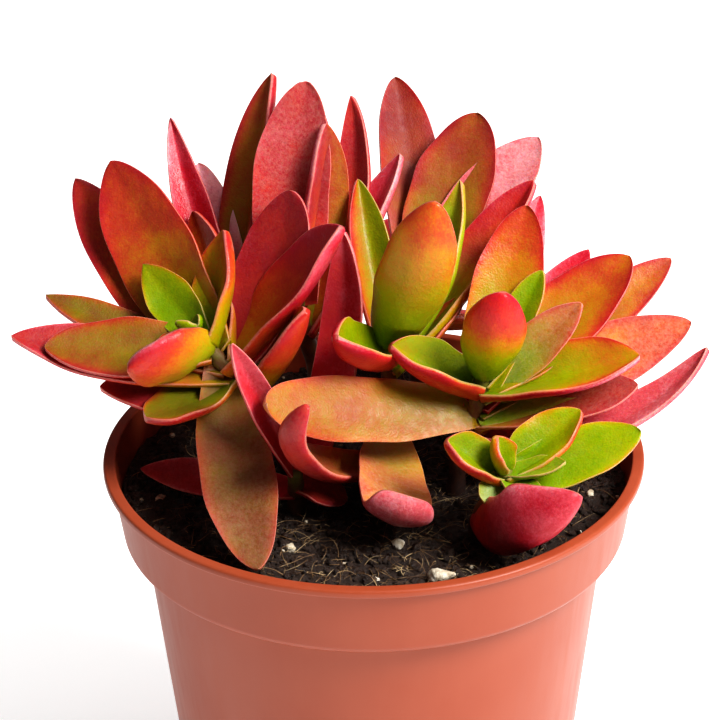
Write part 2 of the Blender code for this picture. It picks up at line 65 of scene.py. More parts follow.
# Pot, in millimetres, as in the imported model
RIM_RADIUS = POT_BOX[1][0] / MM
POT_HEIGHT = POT_BOX[1][2] / MM
RIM_DEPTH = 1.2
BAND_TOP_RADIUS = 41.3
BAND_FOOT_RADIUS = 39.8
BAND_FOOT_Z = 62.6
BODY_TOP_RADIUS = 36.65
FOOT_RADIUS = 30.1
WALL = 0.9
FLOOR = 1.2
STEP_RISE = 1.5
DRAIN_HOLES = 6
DRAIN_RADIUS = 3.0
DRAIN_CIRCLE = 20.0
TURN_STEPS = 192

# Soil, in millimetres
GAP = 0.3
SOIL_TOP = 69.5
RELIEF = 0.35
SOIL_RINGS = 150
SOIL_STEPS = 330
# Random flats that cut a loose lump, how far out they lie, and their least lean
LUMP_FLATS = 6
LUMP_DEPTHS = (0.55, 0.95)
LUMP_LEAN = 0.05
# Loose white lumps on the soil: x, y, length, width and height
LUMPS = (
    (9.6, -30.5, 4.6, 2.8, 2.4),
    (3.4, -21.0, 2.6, 1.8, 1.5),
    (-16.6, -32.0, 2.6, 1.9, 1.4),
    (-33.4, -6.0, 2.4, 1.8, 1.5),
    (31.0, 12.0, 2.8, 2.0, 1.6),
    (-2.0, 31.0, 3.0, 2.2, 1.8),
)

# Stems, in millimetres
STEM_RADIUS = 1.6
STEM_TIP_RADIUS = 1.1
STEM_SIDES = 24

# Leaves, in millimetres
LEAF_THICKNESS = 2.1
LEAF_EDGE = 0.6
LEAF_TIP_HALF = 0.3
LEAF_BASE_SHARE = 0.55
LEAF_WIDEST = 0.5
LEAF_HOOK_START = 0.78
LEAF_FOLD_ROUND = 0.22
LEAF_CLASP = 14.0
LEAF_ACROSS = 17
LEAF_STATIONS = 44
MIDLINE_STEPS = 80

# The view that places the leaf tips, and the camera that looks along it
VIEW_DOWN = 27.0
VIEW_ROLL = -0.92
VIEW_CENTRE = (-1.88, 0.0, 90.62)
VIEW_DISTANCE = 400.0
CAMERA_SENSOR = 36.0
CAMERA_LENS = 129.2

# Stems as points from the soil to the tip
STEMS = {
    "left": (
        (-13, -4, 58), (-13, -4, 72), (-17, -4, 84), (-23, -3, 92), (-27, -2, 97)),
    "rear_left": (
        (-15, 9, 58), (-15, 9, 72), (-18, 10, 84), (-21, 11, 92), (-22, 12, 98)),
    "back": (
        (-7, 7, 58), (-7, 7, 72), (-9, 8, 85), (-11, 8, 94), (-12, 8, 100)),
    "centre": (
        (2, -1, 58), (2, -1, 72), (2.5, -1, 82), (2.6, -1, 89), (2.3, -1.5, 95)),
    "rear": (
        (7, 13, 58), (7, 13, 72), (7.5, 15, 84), (8, 17, 94), (8.3, 18, 101)),
    "right": (
        (13, -4, 58), (13, -4, 72), (14.5, -5, 80), (16, -6, 86), (17, -7, 92)),
    "front": (
        (15.5, -18, 58), (15.5, -18, 70), (16.6, -19, 75), (18.4, -20.4, 79), (19.5, -21.5, 83)),
    "low": (
        (-12, -9.6, 58), (-12, -9.6, 71), (-12, -12, 75), (-12, -15, 79.5)),
}

# Leaves of each shoot. The first group of each row is the leaf's shape, as in the
# imported model: distance of its base below the stem's tip; its tip's place across, up
# and toward the viewer from the view's centre; width; then in degrees the fold, curl,
# roll and sweep; how pointed it is; and the tip's hook in degrees. The second group is
# its colouring: ripeness at the base and at the tip (0 green, 0.5 orange, 1 crimson,
# 1.4 pale pink), dullness of the upper face, extra ripeness of the outer face, dust and
# painted sheen (a pale bloom that also stands in for a highlight), extra ripeness toward
# one side, and extra ripeness at the margin.
LEAVES = {
    "left": (
        ((8, -10.8, 26.1, 3, 14, 12, 15, -40, 20, 0, 0), (0.88, 0.92, 0.5, 0.05, 0.1, 0, 0.1)),
        ((0.2, -25, 7, 4, 3.5, 30, 20, 0, 0, 0.3, 0), (0, 0.12, 0, 0, 0, 0, 0.2)),
        ((0.4, -28, 6, 6, 3.5, 30, 20, 0, 0, 0.3, 0), (0, 0.1, 0, 0, 0, 0, 0.2)),
        ((12, -36, 5, -18, 9, 15, 5, 0, 0, 0.2, 0), (0.3, 0.8, 0.6, 0.1, 0, 0, 0.2)),
        ((13, -26, -2, -18, 8, 15, 5, 0, 0, 0.2, 0), (0.3, 0.8, 0.6, 0.1, 0, 0, 0.2)),
        ((1.5, -33.8, 14.9, -2, 7.5, 15, 15, 0, 0, 0.5, 0), (-0.1, 0.12, 0.2, 0.1, 0, 0, 0.35)),
        ((5, -39.6, 31.5, -9, 14, 12, 15, 0, -12, 0.1, 0), (0.32, 0.76, 0.4, 0.1, 0.05, 0, 0.2)),
        ((9, -45.7, 29, -14, 11.5, 14, 10, 0, -15, 0.2, 0), (0.35, 0.8, 0.5, -0.25, 0.05, 0, 0.3)),
        ((8, -49.1, 10.3, -4, 8, 15, 10, 0, 0, 0.4, 0), (0.3, 0.4, 0.95, 0.2, 0, 0, 0.3)),
        ((4, -48.2, 2.1, 5, 11, 12, 5, 40, 0, 0.1, 0), (0.32, 0.5, 0.85, 0.2, 0, 0, 0.4)),
        ((9, -53.6, 3.8, 3, 10.5, 12, 5, 30, 0, 0.3, 0), (0.35, 0.95, 0.45, 0, 0.15, 0, 0.3)),
        ((3, -21.3, 20.1, 1, 9.5, 35, 15, -15, 0, 0.3, 0), (0.15, 0.6, 0.35, 0, 0, -0.15, 0.3)),
        ((7, -26.5, 23.5, -9, 9, 20, 20, 0, 0, 0.2, 0), (0.4, 0.7, 0.4, 0, 0, 0, 0.2)),
        ((0.5, -31.5, 0.6, 7, 7, 30, 10, 20, 0, 0.4, 0), (0.05, 0.55, 0.3, 0.1, 0, 0, 0.4)),
        ((3, -34.7, -1.2, 12, 11, 15, 25, -35, 0, 0.1, 20), (0.15, 0.75, 0.1, 0.05, 0.3, 0.2, 0.4)),
        ((9, -32.5, -8.5, 9, 10.5, 15, 25, 30, 0, 0, 0), (0.1, 0.3, 0.8, 0.4, 0.05, 0, 0.45)),
        ((13, -40, -4, 3, 9, 15, 5, 35, 0, 0.3, 0), (0.95, 0.9, 0.6, 0, 0.1, 0, 0)),
        ((7, -15, -30.8, 19, 11.5, 6, 5, 40, 10, 0.1, 0), (0.42, 0.5, 1, 0.05, 0.3, 0, 0.25)),
        ((8, -3, 20, 14, 14.5, 28, 10, -15, -10, 0.1, 0), (0.5, 0.95, 0.5, 0.1, 0, 0, 0.2)),
        ((13, -8.3, 7.6, 17, 10, 30, 10, -5, 0, 0.3, 0), (0.15, 0.6, 0.5, 0.2, 0, 0, 0.3)),
    ),
    "rear_left": (
        ((8, -20, 22, -30, 9, 15, 10, 0, 0, 0.2, 0), (0.5, 0.9, 0.5, 0, 0.1, 0, 0.2)),
        ((9, -9, 12, -32, 9, 15, 10, 0, 0, 0.2, 0), (0.5, 0.95, 0.5, 0, 0.1, 0, 0.2)),
        ((10, -33, 20, -28, 9, 15, 10, 0, 0, 0.2, 0), (0.4, 0.9, 0.5, 0, 0.1, 0, 0.2)),
        ((5, -14.2, 45.8, -12, 9.5, 40, 5, 0, -18, 0.3, 0), (0.35, 0.6, 0.65, 0.2, 0.1, 0, 0.5)),
        ((6, -30.3, 38.8, -13, 7, 40, 5, 0, -15, 0.7, 0), (0.95, 1.05, 0.1, 0, 0, 0, 0.2)),
        ((6, -26, 31.6, -15, 8, 20, 5, 0, 0, 0, 0), (1.3, 1.4, 0, 0, 0, 0, 0.2)),
    ),
    "back": (
        ((8, -9.3, 43.7, -6, 12, 15, 10, -25, 0, 0, 0), (0.6, 1, 0.4, 0, 0.1, 0, 0.2)),
        ((4, -8.1, 43.1, 0, 12.5, 15, 10, -30, -25, 0, 0), (0.85, 1, 0.2, 0.05, 0.5, 0, 0.05)),
        ((7, -5.1, 36.5, 1, 9, 32, 10, -93, 25, 0.3, 0), (0.5, 0.75, 0.5, 0.15, 0.2, 0.25, 0.2)),
        ((9, -1.5, 42.3, -13, 7.5, 25, 10, 0, 40, 0.5, 0), (0.7, 0.95, 0.3, 0, 0.2, 0, 0.1)),
        ((9, 6.3, 32.7, -9.5, 8, 25, 5, 0, 0, 0.2, 0), (0.9, 1.15, 0.1, 0, 0, 0, 0.2)),
    ),
    "centre": (
        ((0.5, 5.9, 9.2, 2, 4, 30, 20, 0, 0, 0.3, 0), (0, 0.2, 0, 0, 0, 0, 0.2)),
        ((0.3, 11.2, 23.3, 21, 11.5, 18, 40, 76, -10, 0, 0), (0.02, 0.62, 0.25, 0.03, 0.1, 0, 0.1)),
        ((5, 15.5, 28, -1, 10, 40, 5, 0, 25, 0.9, 0), (-0.05, 0.25, 0.2, 0, 0.1, 0, 0.15)),
        ((4, -0.3, 28.3, -4, 8, 45, 5, 0, 0, 0.4, 0), (0.15, 0.3, 0.45, 0, 0, 0.35, 0.3)),
        ((6, 27.3, 28.4, -8, 10.5, 40, 10, 0, 0, 0.3, 0), (0.05, 0.9, 0.4, 0.15, 0, 0, 0.2)),
        ((4, -3.1, 3.7, 18, 11.5, 55, 30, 33, 0, 0.2, 0), (0, 0.2, 0.2, 0.7, 0, 0, 0.15)),
        ((6, 16, 10, -1, 5.5, 20, 15, 0, 0, 0.3, 0), (0.4, 0.6, 0.7, 0, 0, 0, 0.2)),
        ((21.9, -9.4, -8.9, 25, 7.9, 30, 60, 30, 0, 0, 60), (0.5, 0.62, 0.45, 0.25, 0.45, 0, 0.2)),
        ((17, 5.7, -23.3, 16, 11.5, 10, 10, 18, 0, -1.1, 110), (0.45, 0.6, 0.4, 0.55, 0.8, 0, 0.1)),
    ),
    "rear": (
        ((8, 5, 24, -42, 10, 15, 10, 0, 0, 0.2, 0), (0.5, 1, 0.5, 0, 0.1, 0, 0.2)),
        ((9, 18, 20, -42, 10, 15, 10, 0, 0, 0.2, 0), (0.5, 1, 0.5, 0, 0.1, 0, 0.2)),
        ((7, 30.5, 25, -32, 9, 15, 10, 0, 0, 0.2, 0), (0.8, 1.1, 0.3, 0, 0.1, 0, 0.2)),
        ((11, 22, 8, -36, 9, 15, 10, 0, 0, 0.2, 0), (0.5, 0.95, 0.5, 0, 0.1, 0, 0.2)),
        ((4, 19, 40.1, -19, 13.5, 12, 10, -10, 0, 0, 0), (0.3, 0.65, 0.75, 0.1, 0.1, 0, 0.4)),
        ((7, 5.7, 46.5, -25, 11, 20, 10, 0, 12, 0.1, 0), (0.55, 0.75, 0.95, 0.1, 0, 0, 0.2)),
        ((5, 28.8, 36, -17, 11.5, 20, 10, -35, 0, 0.1, 0), (1, 1.3, 0.2, 0, 0.5, 0, -0.05)),
    ),
    "right": (
        ((11, 40, 6, -14, 9, 15, 5, 0, 0, 0.2, 0), (0.5, 1, 0.5, 0, 0.1, 0, 0.2)),
        ((12, 28, 2, -18, 9, 15, 5, 0, 0, 0.2, 0), (0.5, 1, 0.5, 0, 0.1, 0, 0.2)),
        ((1.5, 20.3, 1.2, 2, 3, 30, 20, 0, 0, 0.3, 0), (0, 0.2, 0, 0, 0, 0, 0.2)),
        ((0.3, 21.1, 10.2, 18, 10, 22, 45, 0, 0, 0, 0), (-0.05, 0.95, 0, -0.03, 0, 0, 0.1)),
        ((4, 25.8, 23.9, 1, 11, 14, 10, 0, 0, 0.1, 0), (0.15, 0.65, 0.3, 0.1, 0, 0, 0.3)),
        ((8, 28.7, 26.2, -12, 8, 14, 10, 0, 0, 0.2, 0), (0.8, 1.1, 0.1, 0, 0, 0, 0.2)),
        ((3, 28, 13.8, 3, 6.5, 30, 10, 0, 0, 0.2, 0), (-0.05, 0.1, 0.1, 0.3, 0, 0, 0.3)),
        ((4, 42, 16.3, -3, 13, 12, 8, 0, 0, 0, 0), (0.2, 0.62, 0.4, 0.1, 0, 0, 0.4)),
        ((5, 33.5, 8.6, 9, 7.5, 25, 10, -40, 0, 0.3, 0), (-0.05, 0.6, 0.3, 0.1, 0.6, 0, 0.3)),
        ((8, 49, 16, -7, 9, 15, 10, -15, 0, 0.1, 0), (0.1, 0.6, 0.4, -0.1, 0.2, 0, 0.5)),
        ((8, 51, 5.9, 2, 11, 20, 5, -40, 0, 0.2, 0), (0.08, 0.72, 0.15, 0, 0.7, 0, 0.35)),
        ((4, 42.3, 0.8, 9, 11, 35, 5, -15, 0, 0.2, 0), (0, 0.5, 0.3, 0.6, 0, 0, 0.35)),
        ((9, 42.5, -3.7, 5, 9, 20, 5, -25, 0, 0.2, 0), (0.4, 0.9, 0.6, 0.1, 0.35, 0, 0.2)),
        ((4, 4.8, 2.3, 11, 11, 60, 20, 14, 0, 0.3, 0), (0, 0.25, 0.2, 0.7, 0, 0, 0.15)),
        ((7, 36, 17.5, -7, 9, 15, 10, 0, 0, 0.3, 0), (0.9, 1.05, 0.1, 0, 0, 0, 0.2)),
        ((7.5, -13.9, -6.4, 18, 10.5, -12, 15, 35, 0, -0.4, 0), (0.42, 0.52, 0.6, 0.05, 0.12, 0, 0.15)),
        ((12, 53.7, 2, 0, 7, 25, 55, 0, 45, 0.1, 0), (1.05, 1.15, 0.2, 0, 0.3, 0, 0.1)),
    ),
    "front": (
        ((2, 33, -7.4, 13, 9, 40, 10, 0, 0, 0.3, 0), (-0.05, 0.2, 0.1, 0.35, 0, 0, 0.4)),
        ((3, 42, -10.6, 14, 8.6, 15, 10, -25, 0, 0.1, 0), (-0.08, 0.12, 0, 0.1, 0, 0, 0.3)),
        ((1, 30.4, -15, 18, 4.5, 20, 10, 0, 0, 0.4, 0), (-0.05, 0.1, 0, 0, 0.1, 0, 0.15)),
        ((0.5, 20.3, -11.4, 18, 6, 55, 10, 0, 0, 0.3, 0), (0, 0.25, 0.1, 0.2, 0, 0, 0.5)),
        ((2, 13, -11.8, 18, 8, 45, 10, 10, 0, 0.1, 0), (-0.05, 0.15, 0.3, 0.6, 0, 0, 0.4)),
        ((1.5, 26.6, -20, 20, 5, 15, 10, 0, 0, 0.3, 0), (-0.08, 0, 0, 0, 0.1, 0, 0.15)),
        ((12, 31.5, -19.2, 25, 18, 68, 100, 35, 30, 0, 0), (0.35, 0.6, 0.7, 0.5, 0.05, 0, 0.3)),
        ((5, 31.5, -12, 11, 6, 20, 10, 0, 0, 0.3, 0), (0.5, 1, 0.4, 0, 0.1, 0, 0.2)),
        ((1.5, 19.9, -22.2, 17, 6.5, 15, 0, 0, 0, 0.2, 0), (0, 0.05, 0.2, 0, 0.4, 0, 0.2)),
    ),
    "low": (
        ((0.5, -18.9, 2.4, 19, 5.5, 40, 5, 0, 0, 0.4, 0), (0.9, 1.05, 0.2, 0.02, 0.1, 0, 0.2)),
        ((7, -34.5, -17, -6, 6.5, 20, 5, 0, 0, 0.3, 0), (1, 1.05, 0.3, 0, 0.1, 0, 0.2)),
        ((4.5, -2, -21.1, 0, 5.5, 20, 5, 0, 0, -0.3, 0), (0.75, 0.9, 0.5, 0.1, 0.2, 0, 0.2)),
        ((8.5, -2.7, 19.5, 6, 7.5, 30, 45, 0, 20, 0.1, 0), (0.95, 1.05, 0, 0.02, 0.1, -0.1, 0.1)),
    ),
}

def linear(hex_colour):
    """Turn an sRGB hex colour into linear red, green, blue and alpha."""
    parts = [int(hex_colour[k:k + 2], 16) / 255 for k in (1, 3, 5)]
    return tuple(
        c / 12.92 if c <= 0.04045 else ((c + 0.055) / 1.055) ** 2.4 for c in parts) + (1.0,)


def unit(vector):
    """Return vectors of length one along the last axis."""
    return vector / np.linalg.norm(vector, axis=-1, keepdims=True)


# Materials

def add_node(tree, kind, links=None, **settings):
    """Add a node, set its properties, and set or link its inputs."""
    node = tree.nodes.new(kind)
    for name, value in settings.items():
        setattr(node, name, value)
    for name, value in (links or {}).items():
        if isinstance(value, bpy.types.NodeSocket):
            tree.links.new(value, node.inputs[name])
        else:
            node.inputs[name].default_value = value
    return node


def set_stops(ramp, stops):
    """Give a colour ramp its stops: position and sRGB hex colour, or a grey value."""
    elements = ramp.color_ramp.elements
    while len(elements) < len(stops):
        elements.new(1.0)
    for element, (place, colour) in zip(elements, stops):
        element.position = place
        element.color = linear(colour) if isinstance(colour, str) else (*[colour] * 3, 1.0)
    return ramp


def new_material(name):
    """Return a node material, its tree, its Principled shader and object coordinates."""
    material = bpy.data.materials.new(name)
    material.use_nodes = True
    tree = material.node_tree
    shader = tree.nodes["Principled BSDF"]
    place = add_node(tree, "ShaderNodeTexCoord").outputs["Object"]
    return material, tree, shader, place


def grain(tree, place, size_mm, detail=2.0, roughness=0.5):
    """Noise whose features are size_mm across, as a value around one half."""
    return add_node(tree, "ShaderNodeTexNoise", {
        "Vector": place, "Scale": 1.0 / (size_mm * MM), "Detail": detail,
        "Roughness": roughness}).outputs["Fac"]


def calc(tree, operation, a, b=0.0, clamp=False):
    """One sum or product of two values."""
    return add_node(
        tree, "ShaderNodeMath", {0: a, 1: b}, operation=operation,
        use_clamp=clamp).outputs[0]


def spread(tree, value, low, high, new_low=0.0, new_high=1.0):
    """Map a value's range to a new one, clamped and eased."""
    return add_node(tree, "ShaderNodeMapRange", {
        "Value": value, "From Min": low, "From Max": high, "To Min": new_low,
        "To Max": new_high}, interpolation_type="SMOOTHSTEP").outputs["Result"]


def blend_colours(tree, factor, a, b):
    """Mix two colours by a factor."""
    return add_node(
        tree, "ShaderNodeMix", {0: factor, 6: a, 7: b}, data_type="RGBA").outputs[2]


def read_attribute(tree, name):
    """A value that the mesh carries at each point."""
    return add_node(tree, "ShaderNodeAttribute", attribute_name=name).outputs["Fac"]


FRESH_STOPS = (
    (0.0, "#6F8A00"), (0.14, "#929A00"), (0.26, "#AE8C04"), (0.36, "#C67812"),
    (0.46, "#C64A1C"), (0.56, "#BF2A20"), (0.68, "#B4162A"), (0.8, "#CC4656"),
    (1.0, "#EDB4BA"))
DULL_STOPS = (
    (0.0, "#4E5406"), (0.14, "#5E5408"), (0.26, "#6C4C0C"), (0.36, "#763A12"),
    (0.46, "#7E2C16"), (0.56, "#7C1E1A"), (0.68, "#6E121E"), (0.8, "#96383F"),
    (1.0, "#C08488"))
RIPENESS_SPAN = 1.45


def leaf_material():
    """Fleshy crassula leaf: a waxy skin over wet tissue.

    The skin is green where young and turns through orange to crimson, light goes a
    little way in, and its small blistered cells break the gloss into grain.
    """
    material, tree, shader, place = new_material("crassula_leaf_waxy_skin")
    ripe = read_attribute(tree, "ripeness")
    blotches = calc(tree, "SUBTRACT", grain(tree, place, 5.0, 3.0), 0.5)
    flecks = calc(tree, "SUBTRACT", grain(tree, place, 0.5, 3.0, 0.75), 0.5)
    ripe = calc(tree, "ADD", ripe, calc(tree, "MULTIPLY", blotches, 0.4))
    ripe = calc(tree, "ADD", ripe, calc(tree, "MULTIPLY", flecks, 0.34))
    ripe = calc(tree, "DIVIDE", ripe, RIPENESS_SPAN, clamp=True)
    fresh = set_stops(add_node(tree, "ShaderNodeValToRGB", {"Fac": ripe}), FRESH_STOPS)
    dull = set_stops(add_node(tree, "ShaderNodeValToRGB", {"Fac": ripe}), DULL_STOPS)
    dullness = calc(tree, "ADD", read_attribute(tree, "dullness"),
                    calc(tree, "MULTIPLY", blotches, 0.5), clamp=True)
    colour = blend_colours(tree, dullness, fresh.outputs["Color"], dull.outputs["Color"])
    dots = add_node(tree, "ShaderNodeTexVoronoi", {
        "Vector": place, "Scale": 1.0 / (0.75 * MM)}).outputs["Distance"]
    dot_shade = spread(tree, dots, 0.1, 0.24, 0.2, 0.0)
    colour = blend_colours(tree, dot_shade, colour, linear("#5A2418"))
    rim = read_attribute(tree, "rim")
    teeth = calc(tree, "MULTIPLY", grain(tree, place, 0.45, 1.0), 0.2)
    margin = spread(tree, rim, 0.01, teeth, 0.4, 0.0)
    colour = blend_colours(tree, margin, colour, linear("#D99A88"))
    # Pale tan dust on the skin, which also serves as a painted sheen: it lightens the leaf where a
    # highlight would show.
    dust_and_sheen = calc(tree, "MULTIPLY", read_attribute(tree, "dust_and_sheen"),
                spread(tree, grain(tree, place, 0.6, 5.0, 0.8), 0.25, 0.75))
    colour = blend_colours(tree, calc(tree, "MULTIPLY", dust_and_sheen, 0.4), colour, linear("#D8C0A4"))
    tree.links.new(colour, shader.inputs["Base Color"])
    gloss = spread(tree, grain(tree, place, 1.2, 3.0), 0.3, 0.7, 0.26, 0.40)
    gloss = calc(tree, "ADD", gloss, calc(tree, "MULTIPLY", dust_and_sheen, 0.25))
    gloss = calc(tree, "ADD", gloss, calc(tree, "MULTIPLY", dullness, 0.2))
    tree.links.new(gloss, shader.inputs["Roughness"])
    cells = add_node(tree, "ShaderNodeTexVoronoi", {
        "Vector": place, "Scale": 1.0 / (0.32 * MM)}).outputs["Distance"]
    skin = add_node(tree, "ShaderNodeBump", {
        "Height": cells, "Strength": 0.4, "Distance": 0.07 * MM})
    rolls = add_node(tree, "ShaderNodeBump", {
        "Height": grain(tree, place, 2.6, 2.0), "Strength": 0.35, "Distance": 0.5 * MM,
        "Normal": skin.outputs["Normal"]})
    tree.links.new(rolls.outputs["Normal"], shader.inputs["Normal"])
    shader.inputs["Specular IOR Level"].default_value = 0.22
    shader.inputs["Subsurface Weight"].default_value = 0.25
    shader.inputs["Subsurface Radius"].default_value = (1.0, 0.35, 0.12)
    shader.inputs["Subsurface Scale"].default_value = 1.2 * MM
    return material


def stem_material():
    """Crassula stem: green and fleshy at the tip, corky and brown toward the soil."""
    material, tree, shader, place = new_material("crassula_stem_cork")
    cork = calc(tree, "ADD", read_attribute(tree, "dullness"),
                calc(tree, "SUBTRACT", grain(tree, place, 1.4, 4.0, 0.7), 0.5), clamp=True)
    ramp = set_stops(add_node(tree, "ShaderNodeValToRGB", {"Fac": cork}), (
        (0.0, "#6E6A1C"), (0.3, "#6E4420"), (0.7, "#4E2A1A"), (1.0, "#2E1C16")))
    tree.links.new(ramp.outputs["Color"], shader.inputs["Base Color"])
    bump = add_node(tree, "ShaderNodeBump", {
        "Height": grain(tree, place, 0.6, 4.0, 0.7), "Strength": 0.6, "Distance": 0.2 * MM})
    tree.links.new(bump.outputs["Normal"], shader.inputs["Normal"])
    shader.inputs["Roughness"].default_value = 0.6
    return material


def pot_material():
    """Moulded polypropylene in a terracotta colour: satin, with faint flow marks."""
    material, tree, shader, place = new_material("polypropylene_moulded_satin")
    look = bpy.context.scene.crassula_pot
    stretched = add_node(tree, "ShaderNodeMapping", {
        "Vector": place, "Scale": (1.0, 1.0, 0.12)}).outputs["Vector"]
    streaks = grain(tree, stretched, 2.2, 4.0, 0.6)
    clouds = grain(tree, place, 14.0, 3.0)
    base = tuple(look.colour) + (1.0,)
    paler = linear("#A4563E")
    tone = calc(tree, "MULTIPLY", spread(tree, clouds, 0.3, 0.75), 0.25)
    tone = calc(tree, "ADD", tone, spread(tree, streaks, 0.4, 0.8, 0.0, 0.12))
    colour = blend_colours(tree, tone, base, paler)
    specks = spread(tree, grain(tree, place, 0.5, 2.0), 0.70, 0.78, 0.0, 0.35)
    colour = blend_colours(tree, specks, colour, linear("#8E4636"))
    tree.links.new(colour, shader.inputs["Base Color"])
    tree.links.new(spread(tree, streaks, 0.3, 0.8, 0.36, 0.46), shader.inputs["Roughness"])
    sparked = add_node(tree, "ShaderNodeBump", {
        "Height": grain(tree, place, 0.35, 2.0), "Strength": 0.10, "Distance": 0.05 * MM})
    tree.links.new(sparked.outputs["Normal"], shader.inputs["Normal"])
    shader.inputs["Specular IOR Level"].default_value = 0.3
    return material


def soil_material(name, dark, mid, light, grit_mm):
    """Moist peat mix: nearly black crumbs with brown and tan bits, matt with damp glints."""
    material, tree, shader, place = new_material(name)
    bits = grain(tree, place, grit_mm, 5.0, 0.7)
    ramp = set_stops(add_node(tree, "ShaderNodeValToRGB", {"Fac": bits}), (
        (0.3, dark), (0.5, mid), (0.68, mid), (0.8, light)))
    tree.links.new(ramp.outputs["Color"], shader.inputs["Base Color"])
    damp = spread(tree, grain(tree, place, 1.2, 3.0), 0.38, 0.62, 0.3, 0.85)
    tree.links.new(damp, shader.inputs["Roughness"])
    bump = add_node(tree, "ShaderNodeBump", {
        "Height": grain(tree, place, 0.4, 5.0, 0.75), "Strength": 0.9, "Distance": 0.5 * MM})
    tree.links.new(bump.outputs["Normal"], shader.inputs["Normal"])
    return material


def perlite_material():
    """Expanded perlite: a foamed white mineral, matt, pitted and stained by the soil."""
    material, tree, shader, place = new_material("perlite_foamed_mineral")
    stain = grain(tree, place, 1.3, 4.0, 0.65)
    ramp = set_stops(add_node(tree, "ShaderNodeValToRGB", {"Fac": stain}), (
        (0.3, "#7C6A54"), (0.48, "#B7A88E"), (0.7, "#E4DCCB")))
    tree.links.new(ramp.outputs["Color"], shader.inputs["Base Color"])
    bump = add_node(tree, "ShaderNodeBump", {
        "Height": grain(tree, place, 0.5, 3.0, 0.6), "Strength": 0.8, "Distance": 0.35 * MM})
    tree.links.new(bump.outputs["Normal"], shader.inputs["Normal"])
    shader.inputs["Roughness"].default_value = 0.85
    return material


def fibre_material():
    """Dry plant fibre and root hair: pale tan, matt threads."""
    material, tree, shader, place = new_material("coir_and_root_fibre")
    tone = grain(tree, place, 3.0, 2.0)
    ramp = set_stops(add_node(tree, "ShaderNodeValToRGB", {"Fac": tone}), (
        (0.35, "#4E3520"), (0.52, "#80613E"), (0.68, "#C6AC80")))
    tree.links.new(ramp.outputs["Color"], shader.inputs["Base Color"])
    shader.inputs["Roughness"].default_value = 0.7
    return material


def floor_material():
    """Opal acrylic light table: a matt white sheet, evenly lit from below."""
    material, tree, shader, place = new_material("opal_acrylic_lit_from_below")
    tone = grain(tree, place, 180.0, 2.0)
    ramp = set_stops(add_node(tree, "ShaderNodeValToRGB", {"Fac": tone}), (
        (0.3, "#F3F3F2"), (0.7, "#F7F7F6")))
    tree.links.new(ramp.outputs["Color"], shader.inputs["Base Color"])
    shader.inputs["Roughness"].default_value = 0.85
    shader.inputs["Emission Color"].default_value = linear("#FFFFFF")
    shader.inputs["Emission Strength"].default_value = (
        bpy.context.scene.crassula_stage.floor_glow)
    return material


# Meshes

def finish_piece(name, points, faces, materials, nodes=(), values=None, slots=None):
    """Make a smooth piece from points in millimetres, and hang it on the model."""
    mesh = bpy.data.meshes.new(name)
    mesh.from_pydata((np.asarray(points, float) * MM).tolist(), [], faces)
    mesh.update()
    for key, array in (values or {}).items():
        layer = mesh.attributes.new(key, "FLOAT", "POINT")
        layer.data.foreach_set("value", np.asarray(array, np.float32))
    mesh.shade_smooth()
    piece = bpy.data.objects.new(name, mesh)
    bpy.context.scene.collection.objects.link(piece)
    for material in materials:
        mesh.materials.append(material)
    if slots is not None:
        mesh.polygons.foreach_set("material_index", np.asarray(slots, np.int32))
    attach(piece, "root")
    for node in nodes:
        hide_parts(node)
    return piece


def grid_faces(rows, columns, start=0):
    """Quads of a grid whose columns close round into a tube, facing outward."""
    i = np.arange(rows - 1)[:, None]
    j = np.arange(columns)[None, :]
    after = (j + 1) % columns
    a = start + i * columns + j
    b = start + i * columns + after
    return np.stack([a, a + columns, b + columns, b], -1).reshape(-1, 4)


def merge_parts(parts):
    """Join (points, faces, values) parts into one set of arrays."""
    points = []
    faces = []
    values = []
    slots = []
    count = 0
    for part_points, part_faces, part_values, slot in parts:
        points.append(part_points)
        values.append(part_values)
        for face_set in part_faces:
            faces.extend((np.asarray(face_set) + count).tolist())
            slots.append(np.full(len(face_set), slot))
        count += len(part_points)
    keys = values[0].keys()
    merged = {key: np.concatenate([v[key] for v in values]) for key in keys}
    return np.concatenate(points), faces, merged, np.concatenate(slots)


def lattice_noise(x, y, size, seed):
    """Smooth random heights in 0 to 1: values on a square lattice, eased between."""
    random = np.random.default_rng(seed)
    table = random.random((64, 64))
    u = x / size + 31.7
    v = y / size + 17.3
    i = np.floor(u).astype(int)
    j = np.floor(v).astype(int)
    fu = u - i
    fv = v - j
    fu = fu * fu * (3 - 2 * fu)
    fv = fv * fv * (3 - 2 * fv)
    a = table[i % 64, j % 64]
    b = table[(i + 1) % 64, j % 64]
    c = table[i % 64, (j + 1) % 64]
    d = table[(i + 1) % 64, (j + 1) % 64]
    return (a * (1 - fu) + b * fu) * (1 - fv) + (c * (1 - fu) + d * fu) * fv


# Pot

def band_inner_radius(z):
    """Radius of the pot's inner face in the band below the rim."""
    top = BAND_TOP_RADIUS - WALL + 0.2
    foot = BAND_FOOT_RADIUS - WALL
    return foot + (top - foot) * (z - BAND_FOOT_Z) / (POT_HEIGHT - BAND_FOOT_Z)


def body_inner_radius(z):
    """Radius of the pot's inner face below the band."""
    slope = (BODY_TOP_RADIUS - FOOT_RADIUS) / BAND_FOOT_Z
    return FOOT_RADIUS - WALL + slope * z


def rounded_profile(corners, parts=6):
    """Line through (r, z, rounding) corners, each corner a short curve.

    A corner's curve is a parabola from the point one rounding before it to the point
    one rounding after it.
    """
    out = []
    t = np.linspace(0, 1, parts + 1)[:, None]
    for before, here, after in zip(corners[:-2], corners[1:-1], corners[2:]):
        p, q, r = (np.array(c[:2]) for c in (before, here, after))
        start = q + (p - q) * min(here[2] / np.linalg.norm(p - q), 0.5)
        end = q + (r - q) * min(here[2] / np.linalg.norm(r - q), 0.5)
        out.append((1 - t) ** 2 * start + 2 * t * (1 - t) * q + t ** 2 * end)
    first = np.array([corners[0][:2]])
    last = np.array([corners[-1][:2]])
    return np.concatenate([first] + out + [last])


